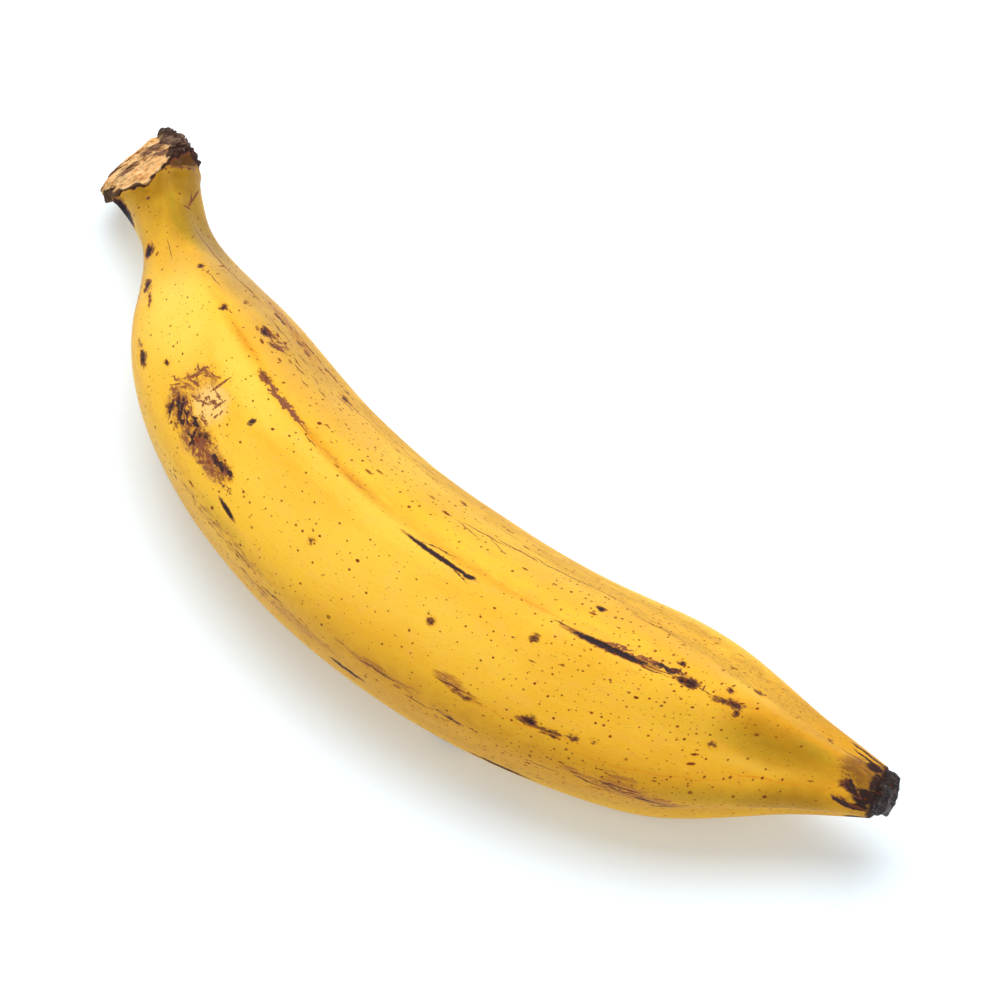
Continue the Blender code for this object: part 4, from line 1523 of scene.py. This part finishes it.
    def stained(self, g: ShaderGraph, place: bpy.types.NodeSocket,
                colour: bpy.types.NodeSocket) -> bpy.types.NodeSocket:
        """Lay rust, bruise and char over a colour."""
        fibrous = g.noise(place, 0.8, 4.0, 4.0, 0.65, 21.0)
        blotchy = g.noise(place, 2.4, 1.3, 5.0, 0.68, 17.0)
        rust = g.math("ADD", g.field("rust"), g.math("MULTIPLY", g.math("SUBTRACT", fibrous, 0.5), 2.6))
        rust = g.math("MULTIPLY", g.step(rust, 0.42, 1.05), g.step(g.field("rust"), 0.02, 0.3))
        colour = g.mix(g.math("MULTIPLY", rust, 0.85), colour, self.rust)
        steeped = g.math("ADD", g.field("tea"), g.math("MULTIPLY", g.math("SUBTRACT", fibrous, 0.5), 1.4))
        steeped = g.math("MULTIPLY", g.step(steeped, 0.1, 1.2), g.step(g.field("tea"), 0.02, 0.4))
        colour = g.mix(g.math("MULTIPLY", steeped, 0.9), colour, self.tea)
        bruise = g.field("bruise")
        flush = g.math("MULTIPLY", g.step(g.math("ADD", bruise, g.math("SUBTRACT", blotchy, 0.5)), 0.3,
            1.0), 0.5)
        colour = g.mix(flush, colour, self.flush)
        worn = g.step(g.math("ADD", g.field("worn"), g.math("SUBTRACT", blotchy, 0.5)), 0.05, 1.0)
        colour = g.mix(g.math("MULTIPLY", worn, 0.75), colour, self.worn)
        net = g.math("ADD", g.math("MULTIPLY", bruise, 0.34), blotchy)
        net = g.math("SUBTRACT", net, g.math("MULTIPLY", g.field("worn"), 0.16))
        net = g.math("MULTIPLY", g.step(net, 0.76, 0.9), g.step(bruise, 0.02, 0.25))
        colour = g.mix(g.math("MULTIPLY", net, 0.8), colour, self.plum)
        crease = g.math("ABSOLUTE", g.math("SUBTRACT", g.noise(place, 1.3, 2.0, 3.0, 0.6, 27.0), 0.5))
        crease = g.math("MULTIPLY", g.step(crease, 0.045, 0.012),
            g.step(g.math("ADD", bruise, net), 0.45, 1.0))
        colour = g.mix(g.math("MULTIPLY", crease, 0.75), colour, self.plum)
        char = g.math("ADD", g.field("char"), g.math("MULTIPLY", g.math("SUBTRACT", fibrous, 0.5), 1.1))
        char = g.math("MULTIPLY", g.step(char, 0.35, 0.95), g.step(g.field("char"), 0.02, 0.2))
        return g.mix(char, colour, self.char)

    def scarred(self, g: ShaderGraph, place: bpy.types.NodeSocket,
                colour: bpy.types.NodeSocket) -> tuple[bpy.types.NodeSocket, bpy.types.NodeSocket]:
        """Lay scars, scratches and specks over a colour; returns it and their joint mask."""
        frayed = g.noise(place, 0.5, 2.6, 5.0, 0.7, 31.0)
        feather = g.math("MULTIPLY", g.math("SUBTRACT", frayed, 0.5), 2.2)
        lobes = g.math("MULTIPLY", g.math("SUBTRACT", g.noise(place, 1.7, 1.5, 2.0, 0.5, 37.0), 0.5), 2.2)
        depth = g.math("ADD", g.field("scar"), g.math("ADD", feather, lobes))
        clean = g.math("SUBTRACT", 1.0, g.math("ADD", g.field("olive_and_shade"), g.field("painted_cap_shadow")), clamp=True)
        halo = g.math("MULTIPLY", g.step(depth, -0.9, -0.05), g.math("MULTIPLY", clean, 0.6))
        colour = g.mix(halo, colour, self.golden)
        colour = g.mix(g.math("MULTIPLY", g.step(depth, -0.3, 0.15), 0.9), colour, self.stain)
        colour = g.mix(g.step(depth, 0.15, 0.65), colour, self.scar)
        colour = g.mix(g.step(depth, 0.5, 1.1), colour, self.core)
        sheet = self.unrolled(g)
        slow = g.math("MULTIPLY", g.math("SUBTRACT", g.noise(place, 4.0, 1.6, 2.0), 0.5), 2.4)
        quick = g.math("MULTIPLY", g.math("SUBTRACT", g.noise(place, 0.6, 1.6, 3.0, 0.6, 7.0), 0.5), 0.5)
        wander = g.math("ADD", slow, quick)
        amber = g.math("MULTIPLY", self.line_mask(g, self.amber_lines, wander), g.step(frayed, 0.34, 0.55))
        colour = g.mix(g.math("MULTIPLY", amber, 0.8), colour, self.orange)
        lines = self.line_mask(g, self.scratches, wander)
        colour = g.mix(g.math("MULTIPLY", lines, g.step(frayed, 0.25, 0.5)), colour, self.stain)
        squiggle = g.math("MULTIPLY", g.math("SUBTRACT", g.noise(place, 1.4, 1.2, 3.0, 0.65, 33.0), 0.5), 4.0)
        for cuts, edge, tone, most, ragged, stray in (
                (self.plum_lines + self.strewn(self.plum_scuffs), self.rust, self.plum, 0.9, 4.0, squiggle),
                (self.slate_lines + self.strewn(self.slate_scuffs), self.plum, self.slate, 0.95, 3.0,
                    squiggle),
                (self.gashes, self.rust, self.slate, 1.0, 1.8, quick)):
            cut = self.line_mask(g, cuts, stray, 2.1, 0.2)
            cut = g.math("MULTIPLY", cut, g.math("MULTIPLY_ADD", frayed, ragged, 1 - 0.5 * ragged))
            colour = g.mix(g.math("MULTIPLY", g.step(cut, 0.12, 0.34), 0.7 * most), colour, edge)
            colour = g.mix(g.math("MULTIPLY", g.step(cut, 0.34, 0.62), most), colour, tone)
            lines = g.math("MAXIMUM", lines, g.step(cut, 0.3, 0.5))
        crowd = g.field("specks")
        fray = g.math("SUBTRACT", g.noise(place, 0.3, 1.8, 3.0, 0.6, 51.0), 0.5)
        peppered = g.math("MULTIPLY_ADD", g.field("worn"), 0.5, 0.28)
        fine = g.specks(sheet, fray, 1.8, 1.15, 0.29, g.math("MULTIPLY_ADD", crowd, 0.7, peppered), 1.3)
        middling = g.specks(sheet, fray, 4.8, 1.15, 0.48, g.math("MULTIPLY_ADD", crowd, 0.34, 0.10), 9.7)
        drawn = g.math("ADD", g.math("MULTIPLY", g.field("tan"), 0.55),
            g.math("MULTIPLY", g.field("rust"), 0.4))
        dashes = g.specks(sheet, fray, 1.9, 3.4, 0.34, g.math("MULTIPLY_ADD", crowd, 0.16, drawn), 15.1)
        dots = g.math("MAXIMUM", g.math("MAXIMUM", fine, middling), dashes)
        fade = g.math("MULTIPLY_ADD", g.step(g.noise(place, 3.5, 1.3, 2.0), 0.36, 0.6), 0.30, 0.68)
        colour = g.mix(g.math("MULTIPLY", dots, fade), colour, self.speck)
        marked = g.math("MAXIMUM", g.math("MAXIMUM", g.step(depth, -0.15, 0.3), lines), dots)
        return colour, marked

    def make(self) -> bpy.types.Material:
        """Build the material."""
        g = ShaderGraph("peel")
        place = g.field("straight", True)
        colour = self.tinted(g, place)
        colour, cork = self.corky(g, place, colour)
        colour = self.stained(g, place, colour)
        colour, marked = self.scarred(g, place, colour)
        grain = g.noise(place, 0.5, 12, 3.0, 0.6, 41.0)
        pores = g.noise(place, 0.7, 1.6, 3.0, 0.6, 43.0)
        height = g.math("ADD", g.math("MULTIPLY", grain, 0.5), g.math("MULTIPLY", pores, 0.4))
        height = g.math("ADD", height, g.math("MULTIPLY", g.math("MULTIPLY", g.field("cork"), grain), 1.2))
        sunken = g.step(g.math("ADD", g.field("scar"), pores), 0.2, 1.0)
        height = g.math("SUBTRACT", height, g.math("MULTIPLY", sunken, 0.75))
        g.bump(height, 0.12)
        rough = g.math("MULTIPLY_ADD", g.noise(place, 2.2, 2.5, 3.0, 0.6, 47.0), 0.22, 0.36)
        rough = g.math("ADD", rough, g.math("MULTIPLY", g.math("MAXIMUM", cork, marked), 0.16))
        rough = g.math("MULTIPLY_ADD", g.field("char"), 0.4, rough, clamp=True)
        return g.finish(colour, rough, subsurface_weight=0.1, subsurface_scale=0.002, specular_ior_level=0.12)


@dataclass(frozen=True)
class TornFinish:
    """Dry tan fibres, darkening to brown at the cap and in the cracks, with painted shade in the hollows of
    the relief.
    """

    tan: tuple = (0.88, 0.48, 0.175)
    straw: tuple = (0.99, 0.70, 0.35)
    crack_and_hollow_shade: tuple = (0.10, 0.036, 0.018)
    maroon: tuple = (0.13, 0.045, 0.036)
    cap: tuple = (0.105, 0.052, 0.033)
    cap_light: tuple = (0.25, 0.15, 0.10)
    cap_dark: tuple = (0.028, 0.014, 0.010)
    rim: tuple = (0.050, 0.022, 0.020)

    def make(self) -> bpy.types.Material:
        """Build the material."""
        g = ShaderGraph("torn_fibre")
        grain = g.field("grain", True)
        strands = g.noise(grain, 0.42, 14, 4.0, 0.6)
        patchy = g.noise(grain, 1.5, 4.5, 4.0, 0.6, 5.0)
        crest = g.field("crest")
        colour = g.mix(g.step(strands, 0.42, 0.66), self.tan, self.straw)
        # Dark between the fibres, plus painted shade in the hollows where the relief is low.
        hollow_shade_and_cracks = g.math("SUBTRACT", g.math("MULTIPLY_ADD", strands, -1.5, 0.9), g.math("MULTIPLY", crest, 0.7))
        colour = g.mix(g.math("MULTIPLY", g.step(hollow_shade_and_cracks, 0.3, 1.0), 0.72), colour, self.crack_and_hollow_shade)
        colour = g.mix(g.math("MULTIPLY", g.step(patchy, 0.54, 0.70), 0.38), colour, self.crack_and_hollow_shade)
        blush = g.math("ADD", g.field("maroon"), g.math("MULTIPLY", g.math("SUBTRACT", strands, 0.5), 2.2))
        colour = g.mix(g.math("MULTIPLY", g.step(blush, 0.45, 1.0), 0.9), colour, self.maroon)
        swirl = g.noise(grain, 0.45, 3.0, 5.0, 0.7, 9.0)
        dark = g.mix(g.step(swirl, 0.38, 0.62), self.cap_dark, self.cap)
        dark = g.mix(g.math("MULTIPLY", g.step(g.math("ADD", crest, swirl), 0.85, 1.5), 0.8), dark,
            self.cap_light)
        edge = g.math("ADD", g.field("cap"), g.math("MULTIPLY", g.math("SUBTRACT", patchy, 0.5), 1.6))
        colour = g.mix(g.step(edge, 0.25, 0.75), colour, dark)
        rim = g.math("ADD", g.field("edge"), g.math("MULTIPLY", g.math("SUBTRACT", patchy, 0.5), 3.2))
        colour = g.mix(g.math("MULTIPLY", g.step(rim, 0.9, 0.1), 0.92), colour, self.rim)
        g.bump(g.math("ADD", strands, g.math("MULTIPLY", swirl, g.field("cap"))), 0.35)
        return g.finish(colour, 0.82, specular_ior_level=0.12)


@dataclass(frozen=True)
class StrandFinish:
    """Loose dry strands, straw to brown."""

    straw: tuple = (0.80, 0.52, 0.26)
    fawn: tuple = (0.34, 0.21, 0.13)
    brown: tuple = (0.075, 0.036, 0.024)

    def make(self) -> bpy.types.Material:
        """Build the material."""
        g = ShaderGraph("loose_strand")
        place = g.node("ShaderNodeTexCoord").outputs["Object"]
        in_mm = g.vector("SCALE", place, 1 / MM)
        shade = g.noise(in_mm, 0.9, 1.0, 3.0, 0.6)
        cap = g.step(g.field("cap"), 0.3, 0.6)
        pale = g.mix(cap, self.straw, self.fawn)
        shade = g.math("ADD", shade, g.math("MULTIPLY", cap, 0.12))
        return g.finish(g.mix(g.step(shade, 0.46, 0.64), pale, self.brown), 0.75, specular_ior_level=0.3)


@dataclass(frozen=True)
class DriedFinish:
    """Black-brown shrivelled tissue, lighter grey on its crests."""

    base: tuple = (0.050, 0.031, 0.027)
    grey: tuple = (0.17, 0.125, 0.115)
    deep: tuple = (0.010, 0.006, 0.006)
    warm: tuple = (0.16, 0.060, 0.030)

    def make(self) -> bpy.types.Material:
        """Build the material."""
        g = ShaderGraph("dried_skin")
        place = g.vector("SCALE", g.node("ShaderNodeTexCoord").outputs["Object"], 1 / MM)
        fine = g.noise(place, 0.45, 1.0, 5.0, 0.7)
        broad = g.noise(place, 1.9, 1.0, 3.0, 0.6)
        crest = g.field("crest")
        colour = g.mix(g.step(fine, 0.4, 0.62), self.deep, self.base)
        raised = g.math("ADD", crest, g.math("MULTIPLY", g.math("SUBTRACT", fine, 0.5), 1.6))
        colour = g.mix(g.math("MULTIPLY", g.step(raised, 0.05, 0.75), 0.75), colour, self.grey)
        colour = g.mix(g.math("MULTIPLY", g.step(broad, 0.56, 0.7), 0.5), colour, self.warm)
        border = g.math("MULTIPLY", g.step(g.field("edge"), 0.34, 0.16), g.step(g.field("edge"), 0.02, 0.14))
        colour = g.mix(g.math("MULTIPLY", border, 0.6), colour, self.grey)
        g.bump(g.math("ADD", fine, g.math("MULTIPLY", broad, 0.6)), 0.3)
        rough = g.math("MULTIPLY_ADD", fine, 0.4, 0.28)
        return g.finish(colour, rough, specular_ior_level=0.25)


# Studio --------------------------------------------------------------------

@dataclass(frozen=True)
class Studio:
    """Pale floor, soft light and the camera's viewpoint."""

    azimuth: float = 50.3
    elevation: float = 49.0
    distance: float = 1.7
    field: float = 0.2308
    aim: tuple = (0.0235, 0.0, 0.0)
    sensor: float = 36.0

    def direction(self, azimuth: float, elevation: float) -> Vector:
        """Unit vector from the object to a place on the sky, degrees in."""
        a, e = math.radians(azimuth), math.radians(elevation)
        return Vector((math.sin(a) * math.cos(e), -math.cos(a) * math.cos(e), math.sin(e)))

    def place_camera(self, centre: Vector) -> None:
        """Put the camera at its viewpoint, looking at the fruit.

        Args:
            centre: middle of the fruit.
        """
        lens = bpy.data.cameras.new("camera")
        lens.sensor_width = self.sensor
        lens.lens = self.sensor * self.distance / self.field
        lens.clip_end = 20.0
        camera = bpy.data.objects.new("camera", lens)
        back = self.direction(self.azimuth, self.elevation)
        turn = (-back).to_track_quat("-Z", "Y")
        target = centre + turn @ Vector(self.aim)
        camera.location = target + back * self.distance
        camera.rotation_euler = turn.to_euler()
        bpy.context.scene.collection.objects.link(camera)
        bpy.context.scene.camera = camera

    def add_softbox(self, name: str, azimuth: float, elevation: float, reach: float, size: float,
                    power: float) -> None:
        """A square area light that faces the fruit."""
        light = bpy.data.lights.new(name, "AREA")
        light.size, light.energy = size, power
        lamp = bpy.data.objects.new(name, light)
        back = self.direction(azimuth, elevation)
        lamp.location = back * reach
        lamp.rotation_euler = (-back).to_track_quat("-Z", "Y").to_euler()
        bpy.context.scene.collection.objects.link(lamp)

    def build(self) -> None:
        """Floor, world, lights and camera."""
        low, high = cad_box
        self.place_camera((low + high) / 2)
        bpy.ops.mesh.primitive_plane_add(size=6, location=(0, 0, low.z - 0.0001))
        floor = bpy.context.object
        floor.name = "floor"
        material = bpy.data.materials.new("floor")
        material.use_nodes = True
        shader = material.node_tree.nodes["Principled BSDF"]
        shader.inputs["Base Color"].default_value = (0.72, 0.82, 0.91, 1)
        shader.inputs["Emission Color"].default_value = (0.92, 0.975, 1.0, 1)
        shader.inputs["Emission Strength"].default_value = 0.25
        shader.inputs["Roughness"].default_value = 0.9
        floor.data.materials.append(material)
        world = bpy.data.worlds.new("studio")
        world.use_nodes = True
        world.node_tree.nodes["Background"].inputs["Color"].default_value = (1, 1, 1, 1)
        world.node_tree.nodes["Background"].inputs["Strength"].default_value = 0.56
        bpy.context.scene.world = world
        bpy.context.scene.view_settings.view_transform = "Standard"
        self.add_softbox("overhead", 222, 78, 1.3, 1.2, 15.3)


def ride(piece: bpy.types.Object) -> None:
    """Tie a piece to the fruit's one body and log its face count."""
    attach(piece, "root")
    log.info("%s: %d faces", piece.name, len(piece.data.polygons))


def main() -> None:
    """Build every piece in order, then the studio."""
    form = FruitForm()
    peel = Skin(form).build(PeelFinish().make())
    Weathering(form).paint(peel)
    ride(peel)
    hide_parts("plantain")
    crown = TornCrown(form)
    torn = crown.build(TornFinish().make())
    strands = crown.strew(torn, StrandFinish().make())
    ride(torn)
    ride(strands)
    ride(DriedTip(form).build(DriedFinish().make()))
    Studio().build()


if __name__ == "__main__":
    logging.basicConfig(level=logging.INFO, format="%(name)s: %(message)s")
    main()
